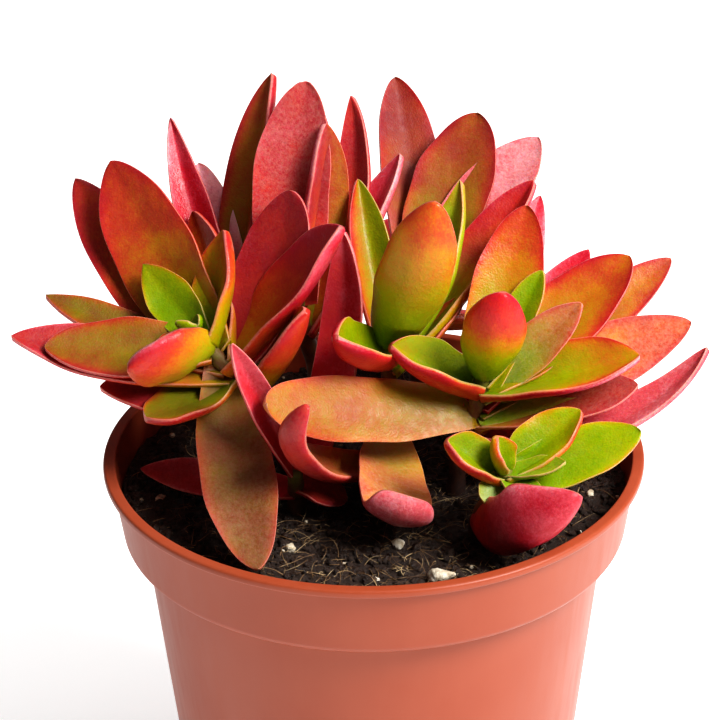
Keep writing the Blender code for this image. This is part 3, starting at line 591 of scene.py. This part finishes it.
def drain_sector(index, z, facing):
    """Sixth of the floor's ring round one drain hole: rulings from hole to outline."""
    steps = TURN_STEPS // DRAIN_HOLES
    middle = 2 * pi * index / DRAIN_HOLES
    arc = middle + np.linspace(-pi / DRAIN_HOLES, pi / DRAIN_HOLES, steps + 1)
    inner, outer = DRAIN_CIRCLE - 4.0, DRAIN_CIRCLE + 4.0
    side = np.linspace(outer, inner, 9)[1:-1]
    radius = np.concatenate([
        np.full(steps + 1, outer), side, np.full(steps + 1, inner), side[::-1]])
    angle = np.concatenate([
        arc, np.full(7, arc[-1]), arc[::-1], np.full(7, arc[0])])
    outline = np.stack([radius * np.cos(angle), radius * np.sin(angle)], -1)
    centre = np.array([DRAIN_CIRCLE * cos(middle), DRAIN_CIRCLE * sin(middle)])
    hole = centre + DRAIN_RADIUS * unit(outline - centre)
    share = np.linspace(0, 1, 4)[:, None, None]
    flat = hole[None] * (1 - share) + outline[None] * share
    points = np.concatenate([flat, np.full(flat.shape[:2] + (1,), z)], -1)
    faces = grid_faces(4, len(outline))
    return points, faces if facing > 0 else faces[:, ::-1]


class CRASSULA_OT_pot(bpy.types.Operator):
    """Turn the pot's rounded half-section and finish its floor with drain holes"""

    bl_idname = "crassula.pot"
    bl_label = "Pot"

    def execute(self, context):
        step_foot = BAND_FOOT_Z - FLOOR / 2
        ring = DRAIN_CIRCLE + 4.0
        profile = rounded_profile((
            (ring, FLOOR, 0.0),
            (body_inner_radius(FLOOR), FLOOR, 1.0),
            (body_inner_radius(step_foot), step_foot, 0.5),
            (band_inner_radius(step_foot + STEP_RISE), step_foot + STEP_RISE, 0.5),
            (band_inner_radius(POT_HEIGHT), POT_HEIGHT, 0.35),
            (RIM_RADIUS, POT_HEIGHT, 0.55),
            (RIM_RADIUS, POT_HEIGHT - RIM_DEPTH, 0.4),
            (BAND_TOP_RADIUS, POT_HEIGHT - RIM_DEPTH - 0.2, 0.3),
            (BAND_FOOT_RADIUS + 0.08, BAND_FOOT_Z + 0.7, 0.5),
            (BAND_FOOT_RADIUS - 0.5, BAND_FOOT_Z, 0.5),
            (BODY_TOP_RADIUS, BAND_FOOT_Z - 0.3, 0.5),
            (FOOT_RADIUS, 0.8, 0.8),
            (FOOT_RADIUS - 0.8, 0.0, 0.8),
            (ring, 0.0, 0.0)))
        angle = np.linspace(0, 2 * pi, TURN_STEPS, endpoint=False) + pi / DRAIN_HOLES
        turned = np.stack([
            profile[:, :1] * np.cos(angle), profile[:, :1] * np.sin(angle),
            np.repeat(profile[:, 1:], TURN_STEPS, axis=1)], -1)
        points = [turned.reshape(-1, 3)]
        faces = [grid_faces(len(profile), TURN_STEPS)]
        count = turned.shape[0] * TURN_STEPS
        for z, facing in ((FLOOR, 1), (0.0, -1)):
            for index in range(DRAIN_HOLES):
                flat, flat_faces = drain_sector(index, z, facing)
                points.append(flat.reshape(-1, 3))
                faces.append(flat_faces + count)
                count += flat.shape[0] * flat.shape[1]
            radius = np.linspace(0.0, DRAIN_CIRCLE - 4.0, 4)[1:, None]
            disc = np.stack([
                radius * np.cos(angle), radius * np.sin(angle),
                np.full((3, TURN_STEPS), z)], -1)
            points.append(disc.reshape(-1, 3))
            disc_faces = grid_faces(3, TURN_STEPS, count)
            faces.append(disc_faces if facing > 0 else disc_faces[:, ::-1])
            fan = count + np.stack([
                np.arange(TURN_STEPS), (np.arange(TURN_STEPS) + 1) % TURN_STEPS,
                np.full(TURN_STEPS, 3 * TURN_STEPS)], -1)
            points.append(np.array([[0.0, 0.0, z]]))
            faces.append(fan if facing > 0 else fan[:, ::-1])
            count += 3 * TURN_STEPS + 1
        for index in range(DRAIN_HOLES):
            top, _ = drain_sector(index, FLOOR, 1)
            low, _ = drain_sector(index, 0.0, 1)
            wall = np.stack([low[0], top[0]])
            points.append(wall.reshape(-1, 3))
            faces.append(grid_faces(2, wall.shape[1], count)[:, ::-1])
            count += 2 * wall.shape[1]
        all_faces = [face for group in faces for face in group.tolist()]
        pot = finish_piece(
            "pot_shell", np.concatenate(points), all_faces, [pot_material()],
            nodes=("pot",))
        close_seams(pot)
        return {"FINISHED"}


def close_seams(piece):
    """Merge a piece's doubled points and turn its faces outward."""
    shape = bmesh.new()
    shape.from_mesh(piece.data)
    bmesh.ops.remove_doubles(shape, verts=shape.verts, dist=0.000002)
    bmesh.ops.recalc_face_normals(shape, faces=shape.faces)
    for face in shape.faces:
        face.smooth = True
    shape.to_mesh(piece.data)
    shape.free()


# Soil

def soil_bed(x, y):
    """Height of the soil's bed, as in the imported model."""
    waves = np.sin(0.31 * x + 0.7) * np.cos(0.27 * y) + np.sin(0.17 * x - 0.41 * y)
    return SOIL_TOP + RELIEF * 0.5 * waves


def soil_height(x, y):
    """The bed with clods, crumbs and pits: lattice noise at three sizes."""
    clods = lattice_noise(x, y, 5.0, 11) - 0.5
    crumbs = lattice_noise(x, y, 1.9, 12) - 0.5
    grit = lattice_noise(x, y, 0.8, 13) - 0.5
    return soil_bed(x, y) + 1.0 * clods + 0.9 * crumbs + 0.4 * grit


def lump_shape(rings, sides):
    """Points and faces of a closed unit ball on rings and sides."""
    tilt = np.linspace(0, pi, rings + 2)[1:-1, None]
    turn = np.linspace(0, 2 * pi, sides, endpoint=False)[None, :]
    body = np.stack([
        np.sin(tilt) * np.cos(turn), np.sin(tilt) * np.sin(turn),
        np.cos(tilt) + 0 * turn], -1).reshape(-1, 3)
    points = np.vstack([body, [[0, 0, 1], [0, 0, -1]]])
    quads = grid_faces(rings, sides)
    k = np.arange(sides)
    after = (k + 1) % sides
    north = np.stack([np.full(sides, rings * sides), k, after], -1)
    low = (rings - 1) * sides
    south = np.stack([np.full(sides, rings * sides + 1), low + after, low + k], -1)
    return points, quads, north, south


def scatter_lumps(centres, sizes, rings, sides, rough, random):
    """Copies of a ball, each cut by a few random flats, dented, stretched and turned.

    A point of the unit ball in direction d is drawn in to the nearest flat, which lies
    at its distance over the cosine between d and the flat's own direction.
    """
    ball, quads, north, south = lump_shape(rings, sides)
    count = len(centres)
    flats = unit(random.standard_normal((count, LUMP_FLATS, 3)))
    depth = random.uniform(*LUMP_DEPTHS, (count, 1, LUMP_FLATS))
    lean = np.einsum("pi,cfi->cpf", ball, flats)
    drawn = np.min(depth / np.maximum(lean, LUMP_LEAN), axis=2)[..., None]
    dent = 1 + rough * (random.random((count, len(ball), 1)) - 0.5)
    shape = ball[None] * np.minimum(drawn, 1.0) * dent * sizes[:, None, :] / 2
    turn = random.random(count) * 2 * pi
    tip = (random.random(count) - 0.5) * 1.2
    c, s = np.cos(turn)[:, None], np.sin(turn)[:, None]
    ct, st = np.cos(tip)[:, None], np.sin(tip)[:, None]
    x, y, z = shape[..., 0], shape[..., 1], shape[..., 2]
    y, z = y * ct - z * st, y * st + z * ct
    x, y = x * c - y * s, x * s + y * c
    points = np.stack([x, y, z], -1) + centres[:, None, :]
    step = (np.arange(count) * len(ball))[:, None, None]
    faces = []
    for group in (quads, north, south):
        faces.extend((group[None] + step).reshape(-1, group.shape[1]).tolist())
    return points.reshape(-1, 3), faces


def open_spots(count, random, margin=1.2):
    """Random places on the soil, clear of the stems and the pot's wall."""
    limit = band_inner_radius(SOIL_TOP) - margin
    radius = limit * np.sqrt(random.random(count * 2))
    turn = random.random(count * 2) * 2 * pi
    spots = np.stack([radius * np.cos(turn), radius * np.sin(turn)], -1)
    for route in STEMS.values():
        foot = np.array(route[0][:2])
        spots = spots[np.linalg.norm(spots - foot, axis=1) > STEM_RADIUS + 0.6]
    return spots[:count]


class CRASSULA_OT_soil(bpy.types.Operator):
    """Lay the soil: a crumbly bed, loose crumbs, white lumps and fibres"""

    bl_idname = "crassula.soil"
    bl_label = "Soil"

    def execute(self, context):
        look = context.scene.crassula_soil
        radius = band_inner_radius(SOIL_TOP) - GAP
        r = radius * np.linspace(0, 1, SOIL_RINGS + 1)[1:, None]
        angle = np.linspace(0, 2 * pi, SOIL_STEPS, endpoint=False)
        x, y = r * np.cos(angle), r * np.sin(angle)
        top = np.stack([x, y, soil_height(x, y)], -1)
        step_foot = BAND_FOOT_Z - FLOOR / 2
        below = (
            (band_inner_radius(step_foot + STEP_RISE) - GAP, step_foot + STEP_RISE + 0.5),
            (body_inner_radius(step_foot) - GAP, step_foot + 0.5),
            (body_inner_radius(FLOOR) - GAP, FLOOR + GAP),
            (1.0, FLOOR + GAP))
        rings = [np.stack([
            s * np.cos(angle), s * np.sin(angle), np.full(SOIL_STEPS, z)], -1)
            for s, z in below]
        points = np.concatenate([top, np.array(rings)]).reshape(-1, 3)
        rows = SOIL_RINGS + len(below)
        middle = float(soil_height(np.zeros(1), np.zeros(1))[0])
        points = np.vstack([points, [[0, 0, middle], [0, 0, FLOOR + GAP]]])
        k = np.arange(SOIL_STEPS)
        after = (k + 1) % SOIL_STEPS
        last = (rows - 1) * SOIL_STEPS
        cap = np.stack([np.full(SOIL_STEPS, len(points) - 2), k, after], -1)
        base = np.stack([np.full(SOIL_STEPS, len(points) - 1), last + after, last + k], -1)
        faces = grid_faces(rows, SOIL_STEPS).tolist() + cap.tolist() + base.tolist()
        peat = soil_material("peat_mix_moist", "#150B05", "#2B1A0E", "#6B4D31", 0.9)
        finish_piece("soil_bed", points, faces, [peat], nodes=("soil",))
        random = np.random.default_rng(look.seed)
        spots = open_spots(look.crumbs, random)
        size = 0.4 + 1.5 * random.random((len(spots), 1)) ** 2.5
        sizes = size * (0.6 + 0.8 * random.random((len(spots), 3)))
        z = soil_height(spots[:, 0], spots[:, 1]) + 0.1
        centres = np.column_stack([spots, z])
        points, faces = scatter_lumps(centres, sizes, 4, 7, 0.5, random)
        crumb = soil_material("peat_crumb_and_bark", "#120803", "#2E1B0E", "#8A6742", 1.0)
        finish_piece("soil_crumbs", points, faces, [crumb])
        self.lay_perlite(random)
        self.lay_fibres(look.fibres, random)
        return {"FINISHED"}

    def lay_perlite(self, random):
        """White lumps: the named ones where the solid has them, and small ones between."""
        large = np.array(LUMPS)
        centres = np.column_stack([
            large[:, :2], soil_bed(large[:, 0], large[:, 1]) + large[:, 4] * 0.2])
        first, first_faces = scatter_lumps(centres, large[:, 2:], 14, 24, 0.16, random)
        spots = open_spots(46, random)
        size = 0.5 + 1.2 * random.random((len(spots), 1)) ** 2
        sizes = size * (0.7 + 0.6 * random.random((len(spots), 3)))
        centres = np.column_stack([spots, soil_height(spots[:, 0], spots[:, 1]) + 0.15])
        second, second_faces = scatter_lumps(centres, sizes, 7, 12, 0.3, random)
        shift = len(first)
        faces = first_faces + [[v + shift for v in face] for face in second_faces]
        finish_piece(
            "perlite", np.vstack([first, second]), faces, [perlite_material()])

    def lay_fibres(self, count, random):
        """Threads that lie on the soil: a bent line, carried up and down in arcs."""
        spots = open_spots(count, random, 5.0)
        count = len(spots)
        t = np.linspace(0, 1, 9)[None, :]
        length = 1.2 + 6.5 * random.random((count, 1)) ** 2
        heading = random.random((count, 1)) * 2 * pi
        bend = (random.random((count, 1)) - 0.5) * 4.5
        way = heading + bend * t
        x = spots[:, :1] + length * np.cumsum(np.cos(way), axis=1) / 9
        y = spots[:, 1:] + length * np.cumsum(np.sin(way), axis=1) / 9
        reach = np.hypot(x, y)
        limit = band_inner_radius(SOIL_TOP) - 1.0
        pull = np.minimum(1.0, limit / reach)
        x, y = x * pull, y * pull
        lift = 0.3 + random.random((count, 1)) ** 2 * 0.2 * length * np.sin(pi * t)
        z = soil_height(x, y) * 0.3 + soil_bed(x, y) * 0.7 + lift
        path = np.stack([x, y, z], -1)
        slope = unit(np.gradient(path, axis=1))
        side = unit(np.cross(slope, (0.0, 0.0, 1.0)))
        other = np.cross(side, slope)
        thick = 0.035 + 0.045 * random.random((count, 1, 1, 1)) ** 2
        thick = thick * (1 - 0.6 * t[..., None, None])
        turn = np.linspace(0, 2 * pi, 5, endpoint=False)[None, None, :, None]
        tube = path[:, :, None, :] + thick * (
            side[:, :, None, :] * np.cos(turn) + other[:, :, None, :] * np.sin(turn))
        one = grid_faces(9, 5)
        step = (np.arange(count) * 45)[:, None, None]
        faces = (one[None] + step).reshape(-1, 4)[:, ::-1].tolist()
        ends = np.array([[4, 3, 2, 1, 0], [40, 41, 42, 43, 44]])
        faces += (ends[None] + step).reshape(-1, 5)[:, ::-1].tolist()
        finish_piece(
            "soil_fibres", tube.reshape(-1, 3), faces, [fibre_material()])


# Shoots

def view_axes():
    """Unit vectors across, up and toward the viewer of the view that places leaves."""
    down = radians(VIEW_DOWN)
    roll = radians(VIEW_ROLL)
    across = np.array((1.0, 0.0, 0.0))
    up = np.array((0.0, sin(down), cos(down)))
    toward = np.array((0.0, -cos(down), sin(down)))
    return across * cos(roll) + up * sin(roll), up * cos(roll) - across * sin(roll), toward


def view_point(across, up, toward):
    """World place, in millimetres, of a point given in the view's directions."""
    side, rise, near = view_axes()
    return np.array(VIEW_CENTRE) + across * side + up * rise + toward * near


def smooth_route(points, parts):
    """Catmull-Rom curve through given points, with some parts in each span."""
    p = np.array(points, float)
    p = np.vstack([2 * p[0] - p[1], p, 2 * p[-1] - p[-2]])
    t = np.linspace(0, 1, parts, endpoint=False)[:, None]
    spans = [0.5 * (
        2 * p[i] + (p[i + 1] - p[i - 1]) * t
        + (2 * p[i - 1] - 5 * p[i] + 4 * p[i + 1] - p[i + 2]) * t ** 2
        + (3 * p[i] - p[i - 1] - 3 * p[i + 1] + p[i + 2]) * t ** 3)
        for i in range(1, len(p) - 2)]
    return np.vstack(spans + [p[-2:-1]])


def place_on_stem(route, drop):
    """Point and upward direction on a stem, some way below its tip."""
    back = route[::-1]
    steps = np.linalg.norm(np.diff(back, axis=0), axis=1)
    run = np.concatenate(([0.0], np.cumsum(steps)))
    here = np.array([np.interp(drop, run, back[:, k]) for k in range(3)])
    lower = np.array([np.interp(drop + 1.0, run, back[:, k]) for k in range(3)])
    return here, unit(here - lower)


def leaf_outline(t, pointed):
    """Share of a leaf's half-width along its length: a clasping base, a blunt tip."""
    rise = LEAF_BASE_SHARE + (1 - LEAF_BASE_SHARE) * np.sin(
        np.clip(t / LEAF_WIDEST, 0, 1) * pi / 2)
    v = np.clip((t - LEAF_WIDEST) / (1 - LEAF_WIDEST), 0, 1)
    fall = (1 - v ** (2.3 - 0.8 * pointed)) ** (0.62 + 0.4 * pointed)
    return np.where(t < LEAF_WIDEST, rise, fall)


def leaf_frames(route, shape, t):
    """Mid-line points and side and upper-face directions along a leaf.

    The upper face looks to the stem's tip before the leaf is rolled. The mid-line's
    direction turns evenly by the curl and the sweep, and near the tip by the hook; its
    length is fitted to the distance from base to tip.
    """
    drop, across, up, toward, width, fold, curl, roll, sweep, pointed, hook = shape
    base, axis = place_on_stem(route, drop)
    reach = view_point(across, up, toward) - base
    along = unit(reach)
    face = unit(axis - (axis @ along) * along)
    side = np.cross(face, along)
    r = radians(roll)
    face, side = face * cos(r) + side * sin(r), side * cos(r) - face * sin(r)
    s = np.linspace(0, 1, MIDLINE_STEPS + 1)
    turned = np.clip((s - LEAF_HOOK_START) / (1 - LEAF_HOOK_START), 0, 1)
    bend = radians(curl) * (s - 0.5) + radians(hook) * turned
    swing = radians(sweep) * (s - 0.5)
    way = (np.outer(np.cos(bend) * np.cos(swing), along) + np.outer(np.sin(bend), face)
           + np.outer(np.cos(bend) * np.sin(swing), side))
    way = unit(way)
    steps = (way[1:] + way[:-1]) / 2
    line = np.vstack([np.zeros(3), np.cumsum(steps, axis=0)])
    line *= np.linalg.norm(reach) / (line[-1] @ along)
    centre = base + np.stack([np.interp(t, s, line[:, k]) for k in range(3)], -1)
    normal = np.outer(np.cos(bend), face) - np.outer(np.sin(bend), along)
    way = np.stack([np.interp(t, s, way[:, k]) for k in range(3)], -1)
    normal = np.stack([np.interp(t, s, normal[:, k]) for k in range(3)], -1)
    normal = unit(normal - (normal * way).sum(1)[:, None] * way)
    return centre, np.cross(normal, way), normal, np.linalg.norm(reach)


def leaf_part(route, shape, look, random):
    """One leaf as a closed grid: u runs round its section, t from base to tip.

    The upper face is the mid-line plus side and rise, folded along the middle; the
    lower face lies a lens-shaped thickness below it. Slow waves bend both.
    """
    width, fold, pointed = shape[4], shape[5], shape[9]
    u = np.sin(np.linspace(-pi / 2, pi / 2, LEAF_ACROSS))
    t = np.sin(np.linspace(0, pi / 2, LEAF_STATIONS)) ** 1.15
    centre, side, normal, length = leaf_frames(route, shape, t)
    half = np.maximum(width / 2 * leaf_outline(t, pointed), LEAF_TIP_HALF * (1 - t) ** 0.5)
    rise = np.radians(fold * (1 - 0.25 * t) + LEAF_CLASP * (1 - t) ** 4)
    root = np.sqrt(u * u + LEAF_FOLD_ROUND ** 2)
    phase = random.random(4) * 2 * pi
    wave = 0.022 * width * np.sin(2 * pi * 1.3 * t + phase[0])[:, None] * u[None, :] ** 3
    wave = wave + 0.016 * width * np.sin(2 * pi * 2.3 * t + phase[1])[:, None] * u ** 2
    nip = 1 + 0.018 * np.sin(2 * pi * 3.1 * t + phase[2])
    x = (half * nip)[:, None] * u[None, :] * np.cos(rise)[:, None]
    z = half[:, None] * (root - LEAF_FOLD_ROUND)[None, :] * np.sin(rise)[:, None] + wave
    slope = rise[:, None] * (u / root)[None, :]
    share = half / (width / 2)
    body = min(LEAF_THICKNESS, width * 0.24) * (0.45 + 0.55 * share)
    thick = body[:, None] * (1 - u * u)[None, :] ** 0.42
    thick = np.minimum(thick, 2.2 * half[:, None])
    groove = 0.10 * share[:, None] * np.exp(-(u / 0.13) ** 2)[None, :]
    upper = centre[:, None, :] + side[:, None, :] * x[..., None]
    upper = upper + normal[:, None, :] * (z - groove)[..., None]
    out = normal[:, None, :] * np.cos(slope)[..., None]
    out = out - side[:, None, :] * np.sin(slope)[..., None]
    lower = upper - out * thick[..., None]
    rings = np.concatenate([upper, lower[:, -2:0:-1]], axis=1)
    around = rings.shape[1]
    u_ring = np.concatenate([u, u[-2:0:-1]])
    under = np.concatenate([np.zeros(len(u)), np.ones(len(u) - 2)])
    base_ripe, tip_ripe, dull, under_ripe, dust_and_sheen, aside, edge_ripe = look
    edge = np.abs(u_ring)[None, :]
    along = t[:, None]
    turn = along * along * (3 - 2 * along)
    ripeness = base_ripe + (tip_ripe - base_ripe) * turn
    fringe = edge ** 5 * np.clip(0.3 + along * 1.2, 0, 1)
    ripeness = ripeness + edge_ripe * fringe * (1 - 0.4 * under)[None, :]
    ripeness = ripeness + under_ripe * under[None, :] + aside * u_ring[None, :]
    dullness = dull * (1 - 0.45 * under)[None, :] * (1 - 0.35 * edge ** 4) + 0 * along
    rim = half[:, None] * (1 - edge)
    rim = np.minimum(rim, (1 - along) * length)
    # Dust and painted sheen: a pale bloom that also stands in for a highlight, stronger toward the tip
    # and on the upper face.
    dust_and_sheen_share = dust_and_sheen * np.clip(0.35 + 0.9 * along, 0, 1) * (1 - 0.6 * under)[None, :] + 0 * edge
    points = np.vstack([rings.reshape(-1, 3), centre[:1], upper[-1:, len(u) // 2]])
    last = LEAF_STATIONS * around
    k = np.arange(around)
    after = (k + 1) % around
    heel = np.stack([np.full(around, last), k, after], -1)
    point = (LEAF_STATIONS - 1) * around
    tip = np.stack([np.full(around, last + 1), point + after, point + k], -1)
    values = {
        "ripeness": ripeness, "dullness": dullness, "rim": rim, "dust_and_sheen": dust_and_sheen_share}
    flat = {}
    for key, array in values.items():
        array = np.broadcast_to(array, (LEAF_STATIONS, around)).reshape(-1)
        flat[key] = np.concatenate([array, [array[0], array[-1]]])
    return points, (grid_faces(LEAF_STATIONS, around), heel, tip), flat, 0


def stem_part(route):
    """The stem: a ring of points carried along its route, swollen in seven even rings."""
    path = smooth_route(route, 12)
    slopes = unit(np.gradient(path, axis=0))
    share = np.linspace(0, 1, len(path))
    radius = STEM_RADIUS + (STEM_TIP_RADIUS - STEM_RADIUS) * share
    radius = radius * (1 + 0.07 * np.sin(share * 2 * pi * 7))
    side = unit(np.cross((0.0, 1.0, 0.0), slopes))
    other = unit(np.cross(slopes, side))
    turn = np.linspace(0, 2 * pi, STEM_SIDES, endpoint=False)[None, :, None]
    tube = path[:, None, :] + radius[:, None, None] * (
        side[:, None, :] * np.cos(turn) + other[:, None, :] * np.sin(turn))
    points = np.vstack([tube.reshape(-1, 3), path[:1], path[-1:]])
    k = np.arange(STEM_SIDES)
    after = (k + 1) % STEM_SIDES
    last = len(path) * STEM_SIDES
    low = np.stack([np.full(STEM_SIDES, last), after, k], -1)
    high = last - STEM_SIDES
    top = np.stack([np.full(STEM_SIDES, last + 1), high + k, high + after], -1)
    cork = np.repeat(np.clip(1.15 - 1.2 * share, 0, 1), STEM_SIDES)
    cork = np.concatenate([cork, [1.0, 0.0]])
    none = np.zeros(len(points))
    values = {"ripeness": none, "dullness": cork, "rim": none + 5, "dust_and_sheen": none}
    return points, (grid_faces(len(path), STEM_SIDES)[:, ::-1], low, top), values, 1


class CRASSULA_OT_shoots(bpy.types.Operator):
    """Grow the eight shoots: a stem and its leaves in one piece for each"""

    bl_idname = "crassula.shoots"
    bl_label = "Leafy shoots"

    def execute(self, context):
        leaf = leaf_material()
        cork = stem_material()
        seed = context.scene.crassula_leaves.seed
        for number, (name, rows) in enumerate(LEAVES.items()):
            random = np.random.default_rng(seed + number)
            route = smooth_route(STEMS[name], 8)
            parts = [leaf_part(route, shape, look, random) for shape, look in rows]
            parts.append(stem_part(STEMS[name]))
            points, faces, values, slots = merge_parts(parts)
            finish_piece(
                f"leaves_{name}", points, faces, [leaf, cork],
                nodes=(f"shoot_{name}",), values=values, slots=slots)
        return {"FINISHED"}


# Stage

def add_softbox(name, place, size, power, aim, colour=(1.0, 1.0, 1.0)):
    """A square area light at a place in metres, turned to face a point."""
    light = bpy.data.lights.new(name, "AREA")
    light.size = size
    light.energy = power
    light.color = colour
    lamp = bpy.data.objects.new(name, light)
    bpy.context.scene.collection.objects.link(lamp)
    back = unit(np.array(place) - np.array(aim))
    right = unit(np.cross((0.0, 0.0, 1.0), back))
    up = np.cross(back, right)
    turned = Matrix(((right[0], up[0], back[0], place[0]), (right[1], up[1], back[1], place[1]),
                     (right[2], up[2], back[2], place[2]), (0, 0, 0, 1)))
    lamp.matrix_world = turned
    return lamp


class CRASSULA_OT_stage(bpy.types.Operator):
    """Set the white floor, soft lights, pale surroundings and the camera"""

    bl_idname = "crassula.stage"
    bl_label = "Stage"

    def execute(self, context):
        scene = context.scene
        look = scene.crassula_stage
        half = look.floor_size / 2
        mesh = bpy.data.meshes.new("floor")
        mesh.from_pydata(
            [(-half, -half, 0), (half, -half, 0), (half, half, 0), (-half, half, 0)], [],
            [(0, 1, 2, 3)])
        mesh.materials.append(floor_material())
        floor = bpy.data.objects.new("floor", mesh)
        scene.collection.objects.link(floor)
        world = bpy.data.worlds.new("pale_room")
        world.use_nodes = True
        sky = world.node_tree.nodes["Background"]
        sky.inputs["Color"].default_value = linear("#FFFFFF")
        sky.inputs["Strength"].default_value = look.room_light
        scene.world = world
        aim = (0.0, 0.0, 0.085)
        add_softbox("key_softbox", (0.42, -0.26, 0.565), 0.28, look.key_power, aim)
        add_softbox("top_softbox", (0.26, 0.02, 0.76), 0.4, look.top_power, aim)
        scene.view_settings.view_transform = "Standard"
        scene.view_settings.look = "Medium High Contrast"
        self.place_camera(scene)
        return {"FINISHED"}

    def place_camera(self, scene):
        """Put the camera on the line of view that the leaf tips are placed by."""
        lens = bpy.data.cameras.new("camera")
        lens.lens = CAMERA_LENS
        lens.sensor_width = CAMERA_SENSOR
        lens.clip_start = 0.01
        camera = bpy.data.objects.new("camera", lens)
        scene.collection.objects.link(camera)
        side, rise, near = view_axes()
        spot = view_point(0.0, 0.0, VIEW_DISTANCE) * MM
        camera.matrix_world = Matrix((
            (side[0], rise[0], near[0], spot[0]), (side[1], rise[1], near[1], spot[1]),
            (side[2], rise[2], near[2], spot[2]), (0, 0, 0, 1)))
        scene.camera = camera


# Settings, panel and registration

class CrassulaPotSettings(bpy.types.PropertyGroup):
    """What a user would change on the pot."""

    colour: bpy.props.FloatVectorProperty(
        name="Pot colour", description="Colour of the pot's plastic", subtype="COLOR",
        size=3, min=0.0, max=1.0, default=linear("#964226")[:3])


class CrassulaSoilSettings(bpy.types.PropertyGroup):
    """What a user would change on the soil."""

    crumbs: bpy.props.IntProperty(
        name="Crumbs", description="Number of loose crumbs on the soil", default=2600,
        min=0, max=3500)
    fibres: bpy.props.IntProperty(
        name="Fibres", description="Number of threads lying on the soil", default=1400,
        min=1, max=2000)
    seed: bpy.props.IntProperty(
        name="Soil seed", description="Which random soil is laid", default=7)


class CrassulaLeafSettings(bpy.types.PropertyGroup):
    """What a user would change on the leaves."""

    seed: bpy.props.IntProperty(
        name="Leaf seed", description="Which random waves the leaves have", default=21)


class CrassulaStageSettings(bpy.types.PropertyGroup):
    """What a user would change on the stage."""

    floor_size: bpy.props.FloatProperty(
        name="Floor size", description="Width of the floor", default=6.0, unit="LENGTH")
    room_light: bpy.props.FloatProperty(
        name="Room light", description="Strength of the pale surroundings", default=0.1)
    floor_glow: bpy.props.FloatProperty(
        name="Floor glow", description="Light that the floor itself gives", default=0.56)
    key_power: bpy.props.FloatProperty(
        name="Key light", description="Power of the main softbox", default=8.2,
        unit="POWER")
    top_power: bpy.props.FloatProperty(
        name="Top light", description="Power of the softbox overhead", default=1.7,
        unit="POWER")


class CRASSULA_PT_panel(bpy.types.Panel):
    """Lists the steps and settings of the potted crassula"""

    bl_idname = "CRASSULA_PT_panel"
    bl_label = "Potted Crassula"
    bl_space_type = "VIEW_3D"
    bl_region_type = "UI"
    bl_category = "Crassula"

    def draw(self, context):
        layout = self.layout
        scene = context.scene
        layout.prop(scene.crassula_pot, "colour")
        layout.operator("crassula.pot")
        for name in ("crumbs", "fibres", "seed"):
            layout.prop(scene.crassula_soil, name)
        layout.operator("crassula.soil")
        layout.prop(scene.crassula_leaves, "seed")
        layout.operator("crassula.shoots")
        for name in ("floor_size", "floor_glow", "room_light", "key_power", "top_power"):
            layout.prop(scene.crassula_stage, name)
        layout.operator("crassula.stage")


CLASSES = (
    CrassulaPotSettings, CrassulaSoilSettings, CrassulaLeafSettings, CrassulaStageSettings,
    CRASSULA_OT_pot, CRASSULA_OT_soil, CRASSULA_OT_shoots, CRASSULA_OT_stage,
    CRASSULA_PT_panel)
SETTINGS = {
    "crassula_pot": CrassulaPotSettings, "crassula_soil": CrassulaSoilSettings,
    "crassula_leaves": CrassulaLeafSettings, "crassula_stage": CrassulaStageSettings}


def register():
    """Register the classes and hang the settings on the scene."""
    for item in CLASSES:
        bpy.utils.register_class(item)
    for name, group in SETTINGS.items():
        setattr(bpy.types.Scene, name, bpy.props.PointerProperty(type=group))


def unregister():
    """Take the settings off the scene and unregister the classes."""
    for name in SETTINGS:
        delattr(bpy.types.Scene, name)
    for item in reversed(CLASSES):
        bpy.utils.unregister_class(item)


def main():
    """Build every piece in order."""
    register()
    bpy.ops.crassula.pot()
    bpy.ops.crassula.soil()
    bpy.ops.crassula.shoots()
    bpy.ops.crassula.stage()


if __name__ == "__main__":
    main()
